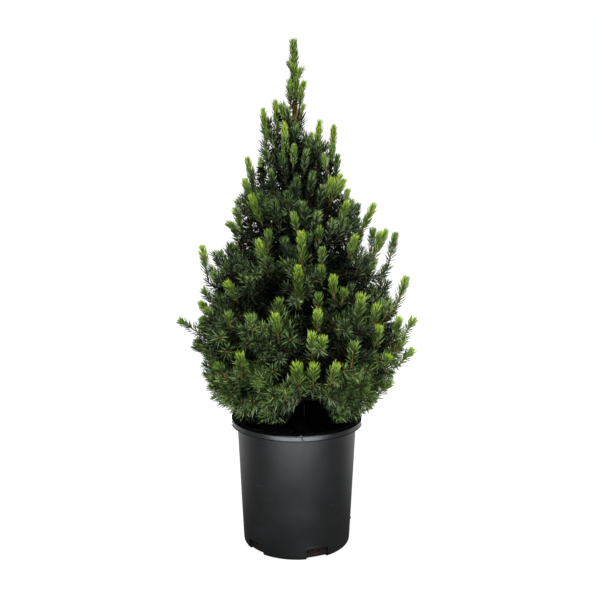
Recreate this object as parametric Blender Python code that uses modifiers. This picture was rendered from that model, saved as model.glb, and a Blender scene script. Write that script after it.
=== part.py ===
"""A dwarf Alberta spruce in a black nursery pot, about 0.63 m tall with its pot.

Metres, +Z up. The origin is the centre of the pot's flat underside. A bearing of 0 degrees
points to the front (-Y), and 90 degrees to the right (+X).
"""

import math
import random

import bmesh
import bpy
from mathutils import Matrix, Quaternion, Vector

# Pot: a turned shell with a turned-down lip and five slots cut through its foot corner.
POT_HEIGHT = 0.165
RIM_RADIUS = 0.0825
LIP_DEPTH = 0.0078
LIP_EDGE = 0.0012
LIP_WALL = 0.0014
BRIM_ROUND = 0.0009
WALL = 0.0015
WALL_TOP_RADIUS = 0.0751
WALL_FOOT_RADIUS = 0.0681
FOOT_ROUND = 0.005
POT_STEPS = 36
SLOT_COUNT = 5
SLOT_FIRST_BEARING = -49.5
SLOT_WIDTH = 0.028
SLOT_TOP = 0.0145
SLOT_INNER = 0.0595
CUTTER_OVERRUN = 0.005

# Potting mix: fills the pot, a little lower at the wall.
MIX_LEVEL = 0.1475
MIX_SETTLED = 0.003
MIX_FLAT = 0.022
MIX_SHOULDER = 0.060
MIX_STEPS = 28

# Gap between pieces that touch.
CLEAR = 0.0003

# Trunk: a flared foot on the mix, then a steady taper up to the leader.
TRUNK_TOP = 0.548
TRUNK_FOOT = Vector((0.003, 0.002))
TRUNK_HEAD = Vector((-0.002, 0.0))
TRUNK_SWAY = 0.0022
TRUNK_RADIUS = 0.0072
TRUNK_TOP_RADIUS = 0.0015
FLARE_RADIUS = 0.0105
FLARE_HEIGHT = 0.018
FLARE_STATIONS = (0.0, 0.35, 0.8)
TRUNK_POINTS = 12

# Boughs: thickness where one leaves the trunk and where its foliage begins.
BOUGH_THICKEST = 0.0029
BOUGH_THINNEST = 0.0016
BOUGH_END_RADIUS = 0.0015
BOUGH_SHARE = 0.34
BOUGH_STATIONS = (0.0, 0.5, 0.92, 1.0)

# Crown: its radius at each height, from under the skirt up to the tip of the leader.
CROWN_OUTLINE = (
    (0.160, 0.086),
    (0.185, 0.108),
    (0.210, 0.122),
    (0.245, 0.140),
    (0.290, 0.152),
    (0.340, 0.139),
    (0.385, 0.122),
    (0.430, 0.099),
    (0.465, 0.073),
    (0.510, 0.053),
    (0.552, 0.042),
    (0.575, 0.016),
    (0.630, 0.012),
)
CROWN_SHIFT = 0.005
CROWN_TOP = 0.627
TIP_MARGIN = 0.006

# Each bough: height on the trunk, bearing, height of its tip, and the share of the crown's
# radius that it reaches there. Heights are in millimetres and bearings in degrees.
BOUGH_TIERS = {
    "skirt": (
        (174, -91, 287, 0.98),
        (182, 80, 278, 1.02),
        (190, -16, 230, 0.95),
        (178, 176, 240, 0.96),
        (196, -58, 204, 1.00),
        (186, 128, 252, 0.98),
        (200, 36, 206, 1.00),
        (192, -136, 246, 0.98),
    ),
    "lower": (
        (228, 92, 336, 0.98),
        (240, -66, 316, 0.93),
        (252, -18, 296, 0.92),
        (232, 146, 322, 0.96),
        (262, 38, 306, 0.95),
        (246, -160, 318, 0.95),
        (236, -112, 332, 0.95),
    ),
    "middle": (
        (298, -86, 384, 0.98),
        (310, 82, 396, 1.02),
        (324, 4, 368, 0.93),
        (304, 168, 382, 0.96),
        (334, -38, 374, 0.90),
        (316, -140, 388, 0.95),
    ),
    "upper": (
        (372, 66, 434, 1.02),
        (384, -78, 452, 0.98),
        (394, 158, 446, 0.95),
        (406, -6, 442, 0.88),
    ),
    "crown": (
        (442, -84, 550, 1.00),
        (454, 58, 528, 1.02),
        (466, 178, 534, 0.95),
    ),
}

# Habit: how a limb rises from the trunk to its tip, as shares of its reach and of its climb.
LIMB_OUT = 0.62
LIMB_UP = 0.24

# Stem of a mass: where its points lie between its bough's end and its tip.
STEM_STATIONS = (0.0, 0.07, 0.4, 0.72, 1.0)

# Twigs along a mass's stem: how many, how long, and how they leave it, fan out and lift.
TWIGS = {"skirt": 8, "lower": 7, "middle": 6, "upper": 5, "crown": 4, "leader": 3}
TWIG_LENGTH = {
    "skirt": 0.072,
    "lower": 0.068,
    "middle": 0.062,
    "upper": 0.052,
    "crown": 0.040,
    "leader": 0.026,
}
TWIG_STATIONS = (0.0, 0.34, 0.68, 1.0)
TWIG_ANGLE = 46
TWIG_ANGLE_SWING = 7
TWIG_TURN_SWING = 14
TWIG_LENGTH_SWING = 0.1
TWIG_TAPER = 0.42
TWIG_LIFT = 0.55
TWIG_FORWARD = 0.25
TWIG_RADIUS = 0.0011
TWIG_FIRST = 0.04
TWIG_LAST = 0.80
TWIG_TRIES = (1.0, 0.84, 0.7, 0.56)
SHORTEST_TWIG = 0.017
GOLDEN_TURN = 137.5

# Sprays: the needle-clad last stretch of a twig, a slim core with needles standing out of it.
SPRAY_LENGTH = 0.046
SPRAY_FROM = 0.22
SPRAY_TO = 0.97
SPRAY_RADIUS = 0.0046
SPRAY_TIP_RADIUS = 0.0010
NEEDLE_LENGTH = 0.016
NEEDLE_RADIUS = 0.0013
TWIG_NEEDLES = 3
STEM_NEEDLES = 5
LEADER_NEEDLES = 13
NEEDLE_ROOT_ANGLE = 58
NEEDLE_TIP_ANGLE = 26

# Leader: the top shoot, above the trunk's tip.
LEADER_TIP = Vector((-0.0035, 0.0, 0.6215))

# Room: every mass keeps to the points that lie nearer to its own limb than to any other.
CELL_STEP = 0.006
TWIG_ROOM = 0.0092
NEEDLE_ROOM = 0.0024
POT_ROOM = 0.0045
SKIRT_DROP = 0.010
SEED = 11


def bearing_vector(bearing):
    """The level direction of a bearing in degrees, 0 to the front and 90 to the right."""
    angle = math.radians(bearing)
    return Vector((math.sin(angle), -math.cos(angle), 0.0))


def material(name, colour, roughness):
    """A plain Principled material."""
    made = bpy.data.materials.new(name)
    made.use_nodes = True
    shader = made.node_tree.nodes["Principled BSDF"]
    shader.inputs["Base Color"].default_value = (*colour, 1.0)
    shader.inputs["Roughness"].default_value = roughness
    shader.inputs["Metallic"].default_value = 0.0
    return made


def clear_scene():
    """Removes whatever the startup scene holds."""
    for obj in list(bpy.data.objects):
        bpy.data.objects.remove(obj)


def new_collection(name):
    """An empty collection in the scene."""
    made = bpy.data.collections.new(name)
    bpy.context.scene.collection.children.link(made)
    return made


def link(obj, collection):
    """Puts an object in one collection only."""
    for old in list(obj.users_collection):
        old.objects.unlink(obj)
    collection.objects.link(obj)
    return obj


def turned(name, profile, steps, collection):
    """A profile of (radius, height) points turned about Z. It runs down its outer side."""
    mesh = bpy.data.meshes.new(name)
    edges = [(i, i + 1) for i in range(len(profile) - 1)]
    mesh.from_pydata([(r, 0.0, z) for r, z in profile], edges, [])
    obj = link(bpy.data.objects.new(name, mesh), collection)
    screw = obj.modifiers.new("turn", "SCREW")
    screw.axis = "Z"
    screw.steps = steps
    screw.render_steps = steps
    screw.use_merge_vertices = True
    screw.merge_threshold = 0.00005
    screw.use_smooth_shade = True
    return obj


def evaluated_mesh(obj, name):
    """The object's evaluated mesh with its loose caps welded, as a new datablock."""
    graph = bpy.context.evaluated_depsgraph_get()
    mesh = bpy.data.meshes.new_from_object(obj.evaluated_get(graph))
    mesh.name = name
    shape = bmesh.new()
    shape.from_mesh(mesh)
    bmesh.ops.remove_doubles(shape, verts=shape.verts, dist=0.00002)
    bmesh.ops.recalc_face_normals(shape, faces=shape.faces)
    shape.to_mesh(mesh)
    shape.free()
    return mesh


def three_sided_section():
    """The hidden section curve that three-sided twigs take."""
    curve = bpy.data.curves.new("twig_section", "CURVE")
    curve.dimensions = "2D"
    spline = curve.splines.new("POLY")
    spline.points.add(2)
    for i, point in enumerate(spline.points):
        angle = 2 * math.pi * i / 3
        point.co = (math.cos(angle), math.sin(angle), 0.0, 1.0)
    spline.use_cyclic_u = True
    obj = bpy.data.objects.new("twig_section", curve)
    obj.hide_render = True
    obj.display_type = "WIRE"
    return obj


def limb_curve(name, points, radii, collection, resolution=None, section=None):
    """A tapering limb as a curve with filled caps, round by resolution or shaped by section."""
    curve = bpy.data.curves.new(name, "CURVE")
    curve.dimensions = "3D"
    curve.use_fill_caps = True
    if section is None:
        curve.bevel_depth = 1.0
        curve.bevel_resolution = resolution
    else:
        curve.bevel_mode = "OBJECT"
        curve.bevel_object = section
    spline = curve.splines.new("POLY")
    spline.points.add(len(points) - 1)
    for target, place, radius in zip(spline.points, points, radii):
        target.co = (*place, 1.0)
        target.radius = radius
    return link(bpy.data.objects.new(name, curve), collection)


def as_mesh(obj, collection):
    """Replaces a curve object by a mesh object of the same name and place."""
    name = obj.name
    made = bpy.data.objects.new(name + "_mesh", evaluated_mesh(obj, name))
    made.matrix_world = obj.matrix_world
    bpy.data.objects.remove(obj)
    made.name = name
    return link(made, collection)


def apply_modifiers(obj):
    """Bakes an object's modifiers into its mesh."""
    graph = bpy.context.evaluated_depsgraph_get()
    mesh = bpy.data.meshes.new_from_object(obj.evaluated_get(graph))
    obj.modifiers.clear()
    obj.data = mesh


def boolean(obj, operation, operand=None, collection=None):
    """Adds an exact Boolean with one object or with a whole collection."""
    cut = obj.modifiers.new(operation.lower(), "BOOLEAN")
    cut.operation = operation
    cut.solver = "EXACT"
    if collection is None:
        cut.object = operand
    else:
        cut.operand_type = "COLLECTION"
        cut.collection = collection


def finish(obj, surface, sharp_degrees=50):
    """Shades an object smooth between sharp edges and gives it its material."""
    obj.data.materials.clear()
    obj.data.materials.append(surface)
    obj.data.shade_smooth()
    obj.data.set_sharp_from_angle(angle=math.radians(sharp_degrees))


def corner_arc(radius, centre_radius, centre_height, count=3):
    """Points of the foot's rounded corner, from the wall down to the underside."""
    points = []
    for i in range(count + 1):
        angle = math.pi / 2 * i / count
        out = centre_radius + radius * math.cos(angle)
        points.append((out, centre_height - radius * math.sin(angle)))
    return points


def wall_radius(height):
    """Outer radius of the pot's wall at a height."""
    low, high = FOOT_ROUND, POT_HEIGHT - LIP_DEPTH
    share = (height - low) / (high - low)
    return WALL_FOOT_RADIUS + (WALL_TOP_RADIUS - WALL_FOOT_RADIUS) * share


def make_slot_cutter(number, cutters):
    """The block that cuts one drain slot through the foot's corner."""
    heading = bearing_vector(SLOT_FIRST_BEARING + 360 / SLOT_COUNT * number)
    outer = WALL_FOOT_RADIUS + CUTTER_OVERRUN
    bpy.ops.mesh.primitive_cube_add(size=1.0)
    slot = bpy.context.object
    slot.name = f"drain_slot_cutter_{number + 1}"
    slot.scale = (outer - SLOT_INNER, SLOT_WIDTH, SLOT_TOP + CUTTER_OVERRUN)
    slot.location = heading * (outer + SLOT_INNER) / 2
    slot.location.z = (SLOT_TOP - CUTTER_OVERRUN) / 2
    slot.rotation_euler.z = math.atan2(heading.y, heading.x)
    slot.hide_render = True
    slot.display_type = "WIRE"
    return link(slot, cutters)


def make_pot(parts, cutters, surface):
    """The pot's shell, with its turned-down lip, and the slots cut through its foot."""
    lip_in = RIM_RADIUS - LIP_WALL
    top_in = WALL_TOP_RADIUS - WALL
    foot_centre = WALL_FOOT_RADIUS - FOOT_ROUND
    inner_round = FOOT_ROUND - WALL
    inside = corner_arc(inner_round, foot_centre, FOOT_ROUND)
    inside.reverse()
    outside = corner_arc(FOOT_ROUND, foot_centre, FOOT_ROUND)
    profile = [(0.0, WALL)] + inside
    profile += [
        (top_in, POT_HEIGHT - LIP_DEPTH),
        (top_in, POT_HEIGHT - BRIM_ROUND),
        (top_in + BRIM_ROUND, POT_HEIGHT),
        (RIM_RADIUS - LIP_EDGE, POT_HEIGHT),
        (RIM_RADIUS, POT_HEIGHT - LIP_EDGE),
        (RIM_RADIUS, POT_HEIGHT - LIP_DEPTH),
        (lip_in, POT_HEIGHT - LIP_DEPTH),
        (lip_in, POT_HEIGHT - WALL),
        (wall_radius(POT_HEIGHT - WALL), POT_HEIGHT - WALL),
    ]
    profile += outside + [(0.0, 0.0)]
    pot = turned("pot", profile, POT_STEPS, parts)
    for i in range(SLOT_COUNT):
        boolean(pot, "DIFFERENCE", operand=make_slot_cutter(i, cutters))
    bpy.context.view_layer.update()
    apply_modifiers(pot)
    finish(pot, surface)
    return pot


def make_mix(parts, surface):
    """The potting mix, which fills the pot and stands clear of its wall."""
    foot_centre = WALL_FOOT_RADIUS - FOOT_ROUND
    inner_round = FOOT_ROUND - WALL - CLEAR
    edge = MIX_LEVEL - MIX_SETTLED
    profile = [
        (0.0, MIX_LEVEL),
        (MIX_FLAT, MIX_LEVEL),
        (MIX_SHOULDER, MIX_LEVEL - MIX_SETTLED / 2),
        (wall_radius(edge) - WALL - CLEAR * 2, edge),
    ]
    profile += corner_arc(inner_round, foot_centre - CLEAR, FOOT_ROUND)
    profile.append((0.0, WALL + CLEAR))
    mix = turned("potting_mix", profile, MIX_STEPS, parts)
    bpy.context.view_layer.update()
    apply_modifiers(mix)
    finish(mix, surface)
    return mix


def trunk_point(height):
    """The trunk's centre at a height: a slight lean with one soft sway."""
    share = (height - MIX_LEVEL) / (TRUNK_TOP - MIX_LEVEL)
    flat = TRUNK_FOOT.lerp(TRUNK_HEAD, share)
    sway = TRUNK_SWAY * math.sin(share * 2 * math.pi)
    return Vector((flat.x + sway, flat.y - sway * 0.6, height))


def trunk_radius(height):
    """The trunk's radius at a height: root flare, then a taper to the leader."""
    share = (height - MIX_LEVEL) / (TRUNK_TOP - MIX_LEVEL)
    plain = TRUNK_RADIUS + (TRUNK_TOP_RADIUS - TRUNK_RADIUS) * share
    flare = max(0.0, 1 - (height - MIX_LEVEL) / FLARE_HEIGHT)
    return plain + (FLARE_RADIUS - TRUNK_RADIUS) * flare**2


def trunk_heights():
    """Heights of the trunk's rings, closer together in the root flare."""
    low = MIX_LEVEL + CLEAR
    flare = [low + FLARE_HEIGHT * share for share in FLARE_STATIONS]
    rest = [
        low + FLARE_HEIGHT + (TRUNK_TOP - low - FLARE_HEIGHT) * (i / TRUNK_POINTS)
        for i in range(1, TRUNK_POINTS + 1)
    ]
    return flare + rest


def make_trunk(parts, cutters, surface):
    """The trunk, and a hidden copy a hair thicker that trims the boughs' feet."""
    heights = trunk_heights()
    points = [trunk_point(z) for z in heights]
    points[0].x, points[0].y = points[1].x, points[1].y
    radii = [trunk_radius(z) for z in heights]
    trunk = limb_curve("trunk", points, radii, parts, resolution=3)
    wider = [r + CLEAR for r in radii]
    trimmer = limb_curve("trunk_trimmer", points, wider, cutters, resolution=3)
    bpy.context.view_layer.update()
    trunk = as_mesh(trunk, parts)
    trimmer = as_mesh(trimmer, cutters)
    trimmer.hide_render = True
    trimmer.display_type = "WIRE"
    finish(trunk, surface)
    return trimmer


class Limb:
    """One bough and the stem of its mass, as a single curve from the trunk to the tip."""

    def __init__(self, tier, number, start, shoulder, tip):
        self.tier = tier
        self.number = number
        self.start = start
        self.shoulder = shoulder
        self.tip = tip
        self.split = 0.0 if tier == "leader" else BOUGH_SHARE
        self.samples = self.sampled()

    def point(self, t):
        """The limb's centre at a share of its way from trunk to tip."""
        u = 1 - t
        return self.start * (u * u) + self.shoulder * (2 * u * t) + self.tip * (t * t)

    def heading(self, t):
        """The direction in which the limb grows there."""
        u = 1 - t
        way = (self.shoulder - self.start) * u + (self.tip - self.shoulder) * t
        return way.normalized()

    def sampled(self):
        """Points along the limb that stand for it when space is shared out."""
        length = (self.tip - self.start).length
        count = max(4, round(length / CELL_STEP))
        return [self.point(i / count) for i in range(count + 1)]


def crown_radius(height):
    """The crown's radius at a height, read along its outline."""
    for (low, inner), (high, outer) in zip(CROWN_OUTLINE, CROWN_OUTLINE[1:]):
        if height < high:
            share = max(0.0, (height - low) / (high - low))
            return inner + (outer - inner) * share
    return CROWN_OUTLINE[-1][1]


def crown_centre(height):
    """The crown's axis at a height. The crown stands a little to the right of the pot's."""
    return Vector((CROWN_SHIFT * (1 - height / CROWN_TOP), 0.0, height))


def bough_limb(tier, number, trunk_mm, bearing, tip_mm, share):
    """A limb from the trunk out and up to its tip near the crown's outline."""
    start = trunk_point(trunk_mm / 1000)
    height = tip_mm / 1000
    reach = crown_radius(height) * share - TIP_MARGIN
    tip = crown_centre(height) + bearing_vector(bearing) * reach
    shoulder = start.lerp(tip, LIMB_OUT)
    shoulder.z = start.z + (tip.z - start.z) * LIMB_UP
    return Limb(tier, number, start, shoulder, tip)


def leader_limb():
    """The leader, which goes on from the trunk's tip."""
    start = trunk_point(TRUNK_TOP)
    return Limb("leader", 1, start, start.lerp(LEADER_TIP, 0.5), LEADER_TIP.copy())


class Room:
    """Shares the crown's space: a point belongs to the limb that lies nearest to it."""

    def __init__(self, limbs):
        self.places = [(limb, place) for limb in limbs for place in limb.samples]
        height = TRUNK_TOP - MIX_LEVEL
        count = round(height / CELL_STEP)
        self.trunk = [trunk_point(MIX_LEVEL + height * i / count) for i in range(count)]

    def clearance(self, limb, place):
        """How much nearer the place is to its own limb than to any other limb or the trunk."""
        own = 1.0
        other = 1.0
        for owner, sample in self.places:
            away = (sample - place).length
            if owner is limb:
                own = min(own, away)
            else:
                other = min(other, away)
        for sample in self.trunk:
            other = min(other, (sample - place).length)
        return other - own

    def holds(self, limb, place, room):
        """Whether a place lies in the limb's own space and clear of the pot."""
        out = math.hypot(place.x, place.y)
        floor = POT_HEIGHT if out < RIM_RADIUS + POT_ROOM else POT_HEIGHT - SKIRT_DROP
        if place.z < floor + POT_ROOM:
            return False
        if place.z > CROWN_TOP or (place - crown_centre(place.z)).length > crown_radius(place.z):
            return False
        return self.clearance(limb, place) > room


def perpendicular(way, turn):
    """A unit vector square to a direction, turned round it by degrees."""
    side = way.cross(Vector((0, 0, 1)))
    if side.length < 0.05:
        side = way.cross(Vector((1, 0, 0)))
    side.normalize()
    return Quaternion(way, math.radians(turn)) @ side


def twig_path(root, way, side, angle, length):
    """Four points of a twig that leaves at an angle and lifts towards the light."""
    lean = math.radians(angle)
    leaving = way * math.cos(lean) + side * math.sin(lean)
    lifted = (leaving + Vector((0, 0, 1)) * TWIG_LIFT + way * TWIG_FORWARD).normalized()
    points = []
    for share in TWIG_STATIONS:
        bend = share * share / 2
        points.append(root + (leaving * (share - bend) + lifted * bend) * length)
    return points


def path_length(path):
    """The length of a path of points."""
    return sum((b - a).length for a, b in zip(path, path[1:]))


def needle_places(path, rng, count):
    """Root, direction and length of each needle of a spray, in a steady spiral."""
    first = max(SPRAY_FROM, 1 - SPRAY_LENGTH / path_length(path))
    phase = rng.uniform(0, 360)
    made = []
    for j in range(count):
        share = first + (SPRAY_TO - first) * (j + 0.5) / count
        spot = share * (len(path) - 1)
        low = min(int(spot), len(path) - 2)
        place = path[low].lerp(path[low + 1], spot - low)
        way = (path[low + 1] - path[low]).normalized()
        open_angle = NEEDLE_ROOT_ANGLE + (NEEDLE_TIP_ANGLE - NEEDLE_ROOT_ANGLE) * (j / count)
        side = perpendicular(way, phase + GOLDEN_TURN * j)
        lean = math.radians(open_angle)
        pointing = way * math.cos(lean) + side * math.sin(lean)
        made.append((place, pointing, NEEDLE_LENGTH * rng.uniform(0.85, 1.1)))
    return made


def needles_object(name, needles, collection):
    """The needles of one spray: three-sided spikes whose roots are sunk in its core."""
    shape = bmesh.new()
    for place, pointing, length in needles:
        upright = pointing.to_track_quat("Z", "Y").to_matrix().to_4x4()
        where = Matrix.Translation(place + pointing * (length / 2)) @ upright
        bmesh.ops.create_cone(
            shape,
            cap_ends=True,
            cap_tris=True,
            segments=3,
            radius1=NEEDLE_RADIUS,
            radius2=0.0,
            depth=length,
            matrix=where,
        )
    bmesh.ops.remove_doubles(shape, verts=shape.verts, dist=0.00001)
    mesh = bpy.data.meshes.new(name)
    shape.to_mesh(mesh)
    shape.free()
    return link(bpy.data.objects.new(name, mesh), collection)


def twig_radii(length):
    """Radii of a twig: bare at its root, swelling to the spray's core, and fine at its tip."""
    if length > SPRAY_LENGTH * 1.2:
        return [TWIG_RADIUS, TWIG_RADIUS * 1.3, SPRAY_RADIUS, SPRAY_TIP_RADIUS]
    return [TWIG_RADIUS, SPRAY_RADIUS * 0.8, SPRAY_RADIUS * 0.9, SPRAY_TIP_RADIUS]


def grow_twigs(limb, room, rng):
    """The twigs of one mass by its rule: a spiral up the stem, shortened or skipped for room."""
    count = TWIGS[limb.tier]
    phase = rng.uniform(0, 360)
    twigs = []
    for k in range(count):
        along = TWIG_FIRST + (TWIG_LAST - TWIG_FIRST) * (k + 0.5) / count
        t = limb.split + (1 - limb.split) * along
        way = limb.heading(t)
        turn = phase + GOLDEN_TURN * k + rng.uniform(-TWIG_TURN_SWING, TWIG_TURN_SWING)
        side = perpendicular(way, turn)
        angle = TWIG_ANGLE + rng.uniform(-TWIG_ANGLE_SWING, TWIG_ANGLE_SWING)
        swing = 1 + rng.uniform(-TWIG_LENGTH_SWING, TWIG_LENGTH_SWING)
        longest = TWIG_LENGTH[limb.tier] * (1 - TWIG_TAPER * along) * swing
        for share in TWIG_TRIES:
            length = longest * share
            if length < SHORTEST_TWIG:
                break
            path = twig_path(limb.point(t), way, side, angle, length)
            if all(room.holds(limb, p, TWIG_ROOM) for p in path[1:]):
                twigs.append(path)
                break
    return twigs


def loose_bodies(shape):
    """A shape's separate bodies as lists of faces, each with its signed volume."""
    unseen = set(shape.faces)
    bodies = []
    while unseen:
        front = [unseen.pop()]
        body = list(front)
        while front:
            face = front.pop()
            for edge in face.edges:
                for near in edge.link_faces:
                    if near in unseen:
                        unseen.remove(near)
                        front.append(near)
                        body.append(near)
        volume = 0.0
        for face in body:
            corners = [v.co for v in face.verts]
            for i in range(1, len(corners) - 1):
                volume += corners[0].dot(corners[i].cross(corners[i + 1])) / 6
        bodies.append((volume, body))
    return bodies


def keep_main_body(obj):
    """Fills sealed hollows and drops loose scraps, so that one closed body is left."""
    shape = bmesh.new()
    shape.from_mesh(obj.data)
    bodies = loose_bodies(shape)
    largest = max(bodies, key=lambda body: body[0])
    spare = [face for body in bodies if body is not largest for face in body[1]]
    bmesh.ops.delete(shape, geom=spare, context="FACES")
    loose = [v for v in shape.verts if not v.link_faces]
    bmesh.ops.delete(shape, geom=loose, context="VERTS")
    bmesh.ops.triangulate(shape, faces=shape.faces)
    shape.to_mesh(obj.data)
    shape.free()


def stem_points(limb):
    """The stem of a mass, from just past its bough's end to the tip."""
    points = [limb.point(limb.split + (1 - limb.split) * share) for share in STEM_STATIONS]
    points[0] = points[0] + limb.heading(limb.split) * CLEAR
    return points


def make_mass(limb, room, parts, section, surface, name):
    """One mass of foliage: stem, twigs and needles, joined into one solid."""
    rng = random.Random(f"{SEED}-{limb.tier}-{limb.number}")
    bits = new_collection(name + "_bits")
    points = stem_points(limb)
    start_radius = TRUNK_TOP_RADIUS if limb.tier == "leader" else BOUGH_END_RADIUS
    radii = [start_radius, TWIG_RADIUS * 1.2, SPRAY_RADIUS * 0.8, SPRAY_RADIUS, SPRAY_TIP_RADIUS]
    stem = limb_curve(name, points, radii, parts, resolution=0)
    twigs = grow_twigs(limb, room, rng)
    curves = []
    stem_needles = LEADER_NEEDLES if limb.tier == "leader" else STEM_NEEDLES
    sprays = [needle_places(points, rng, stem_needles)]
    for i, path in enumerate(twigs):
        twig_name = f"{name}_twig_{i + 1}"
        thickness = twig_radii(path_length(path))
        curves.append(limb_curve(twig_name, path, thickness, bits, section=section))
        sprays.append(needle_places(path, rng, TWIG_NEEDLES))
    bpy.context.view_layer.update()
    stem = as_mesh(stem, parts)
    for curve in curves:
        as_mesh(curve, bits)
    for i, needles in enumerate(sprays):
        kept = [n for n in needles if room.holds(limb, n[0] + n[1] * n[2], NEEDLE_ROOM)]
        if kept:
            needles_object(f"{name}_needles_{i + 1}", kept, bits)
    boolean(stem, "UNION", collection=bits)
    bpy.context.view_layer.update()
    apply_modifiers(stem)
    for obj in list(bits.objects):
        bpy.data.objects.remove(obj)
    bpy.data.collections.remove(bits)
    keep_main_body(stem)
    finish(stem, surface, sharp_degrees=35)
    return stem


def make_bough(limb, trimmer, parts, surface, name):
    """One bough: a tapering limb trimmed to the trunk, which ends where its foliage begins."""
    share = (limb.start.z - MIX_LEVEL) / (TRUNK_TOP - MIX_LEVEL)
    thick = BOUGH_THICKEST + (BOUGH_THINNEST - BOUGH_THICKEST) * share
    points = [limb.point(BOUGH_SHARE * station) for station in BOUGH_STATIONS]
    radii = [thick + (BOUGH_END_RADIUS - thick) * station for station in BOUGH_STATIONS]
    bough = limb_curve(name, points, radii, parts, resolution=1)
    bpy.context.view_layer.update()
    bough = as_mesh(bough, parts)
    boolean(bough, "DIFFERENCE", operand=trimmer)
    bpy.context.view_layer.update()
    apply_modifiers(bough)
    keep_main_body(bough)
    finish(bough, surface)
    return bough


def main():
    """Builds pot, mix, trunk, boughs and foliage."""
    clear_scene()
    parts = new_collection("potted_dwarf_spruce")
    cutters = new_collection("cutters")
    black_plastic = material("black_plastic", (0.018, 0.018, 0.019), 0.5)
    peat = material("peat", (0.022, 0.015, 0.010), 0.95)
    bark = material("bark", (0.16, 0.10, 0.06), 0.85)
    needle_green = material("needle_green", (0.045, 0.10, 0.03), 0.5)
    make_pot(parts, cutters, black_plastic)
    make_mix(parts, peat)
    trimmer = make_trunk(parts, cutters, bark)
    section = link(three_sided_section(), cutters)
    limbs = [
        bough_limb(tier, i + 1, *row)
        for tier, rows in BOUGH_TIERS.items()
        for i, row in enumerate(rows)
    ]
    leader = leader_limb()
    room = Room(limbs + [leader])
    for limb in limbs:
        make_bough(limb, trimmer, parts, bark, f"bough_{limb.tier}_{limb.number}")
    for limb in limbs + [leader]:
        name = "foliage_leader" if limb is leader else f"foliage_{limb.tier}_{limb.number}"
        make_mass(limb, room, parts, section, needle_green, name)


main()
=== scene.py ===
import math
import random

import bpy
import numpy as np
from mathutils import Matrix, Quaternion, Vector, noise


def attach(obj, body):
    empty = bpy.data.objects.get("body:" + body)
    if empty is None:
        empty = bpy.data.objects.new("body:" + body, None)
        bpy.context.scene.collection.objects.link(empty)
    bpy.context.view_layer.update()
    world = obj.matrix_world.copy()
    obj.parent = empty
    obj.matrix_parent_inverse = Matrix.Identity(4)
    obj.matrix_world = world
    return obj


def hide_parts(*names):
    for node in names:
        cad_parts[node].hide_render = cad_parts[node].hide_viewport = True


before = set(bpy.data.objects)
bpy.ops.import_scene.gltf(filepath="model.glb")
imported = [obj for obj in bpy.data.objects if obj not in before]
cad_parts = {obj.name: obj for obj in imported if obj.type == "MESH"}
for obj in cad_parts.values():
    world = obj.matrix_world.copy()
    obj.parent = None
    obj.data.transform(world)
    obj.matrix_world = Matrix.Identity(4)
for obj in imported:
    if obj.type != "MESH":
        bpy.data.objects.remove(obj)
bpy.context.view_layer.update()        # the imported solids, in metres, with +Z up and the front at -Y
bpy.ops.object.select_all(action="DESELECT")
print("frame loaded:", len(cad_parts), "solids")

# Camera, light and floor

studio = {
    "pixels": 600,
    "focalPixels": 916,      # focal length in pixels of the photograph
    "distance": 1.118,       # camera to the pot's axis, metres
    "height": 0.513,
    "tilt": 10.12,           # degrees below level
    "axisPixel": 296.7,      # column that the pot's axis falls on
    "skyStrength": 0.018,
    # area lights: name, place, what it points at, width and height, power, colour
    "lights": (
        ("key", (-0.45, -1.4, 2.1), (0, 0, 0.3), (0.8, 0.8), 30.0, (1, 0.98, 0.95)),
        ("fill", (0.75, -1.3, 0.7), (0, 0, 0.25), (0.4, 0.4), 5.0, (1, 1, 1)),
        # a low panel in front, which the lip and upper wall reflect
        ("low", (0, -0.45, 0.034), (0, 0, 0.10), (1.26, 0.054), 2.3, (0.86, 0.9, 1)),
        # low behind at each side, which picks out the pot's edges
        ("side", (-0.75, 1.5, 0.12), (0, 0, 0.1), (0.35, 0.22), 11.0, (1, 1, 1)),
        ("side", (0.75, 1.5, 0.12), (0, 0, 0.1), (0.35, 0.22), 11.0, (1, 1, 1)),
    ),
    "sunStrength": 1.95,     # soft light from above and in front
    "sunSoftness": 35,       # degrees
    "sunForward": 22,        # degrees from overhead towards the front, and then to the right
    "sunTurn": 7,
    "floorSize": 60.0,
    "floorUnder": 0.0002,    # how far it lies below the pot
    "floorGlow": 0.90,       # the floor is a lit white sheet with a faint shadow on it
    "floorWhite": 0.30,
    "floorBounce": 0.12,     # what it throws back on the plant
    "floorShine": 0.50,      # how bright its painted reflection glow is in the pot's wall
    "shineRange": (0.10, 0.75),      # distances from the pot's axis over which that rises, so that nearer in it has a painted shadow
    "rearShine": 2.2,        # and how much brighter that painted glow is behind the pot
    "rearRange": (0.0, 0.12),
}


def makeCamera():
    data = bpy.data.cameras.new("camera")
    data.sensor_width = 36
    data.lens = studio["focalPixels"] / studio["pixels"] * data.sensor_width
    data.shift_x = (studio["pixels"] / 2 - studio["axisPixel"]) / studio["pixels"]
    camera = bpy.data.objects.new("camera", data)
    bpy.context.collection.objects.link(camera)
    camera.location = (0, -studio["distance"], studio["height"])
    camera.rotation_euler = (math.radians(90 - studio["tilt"]), 0, 0)
    bpy.context.scene.camera = camera


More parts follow.
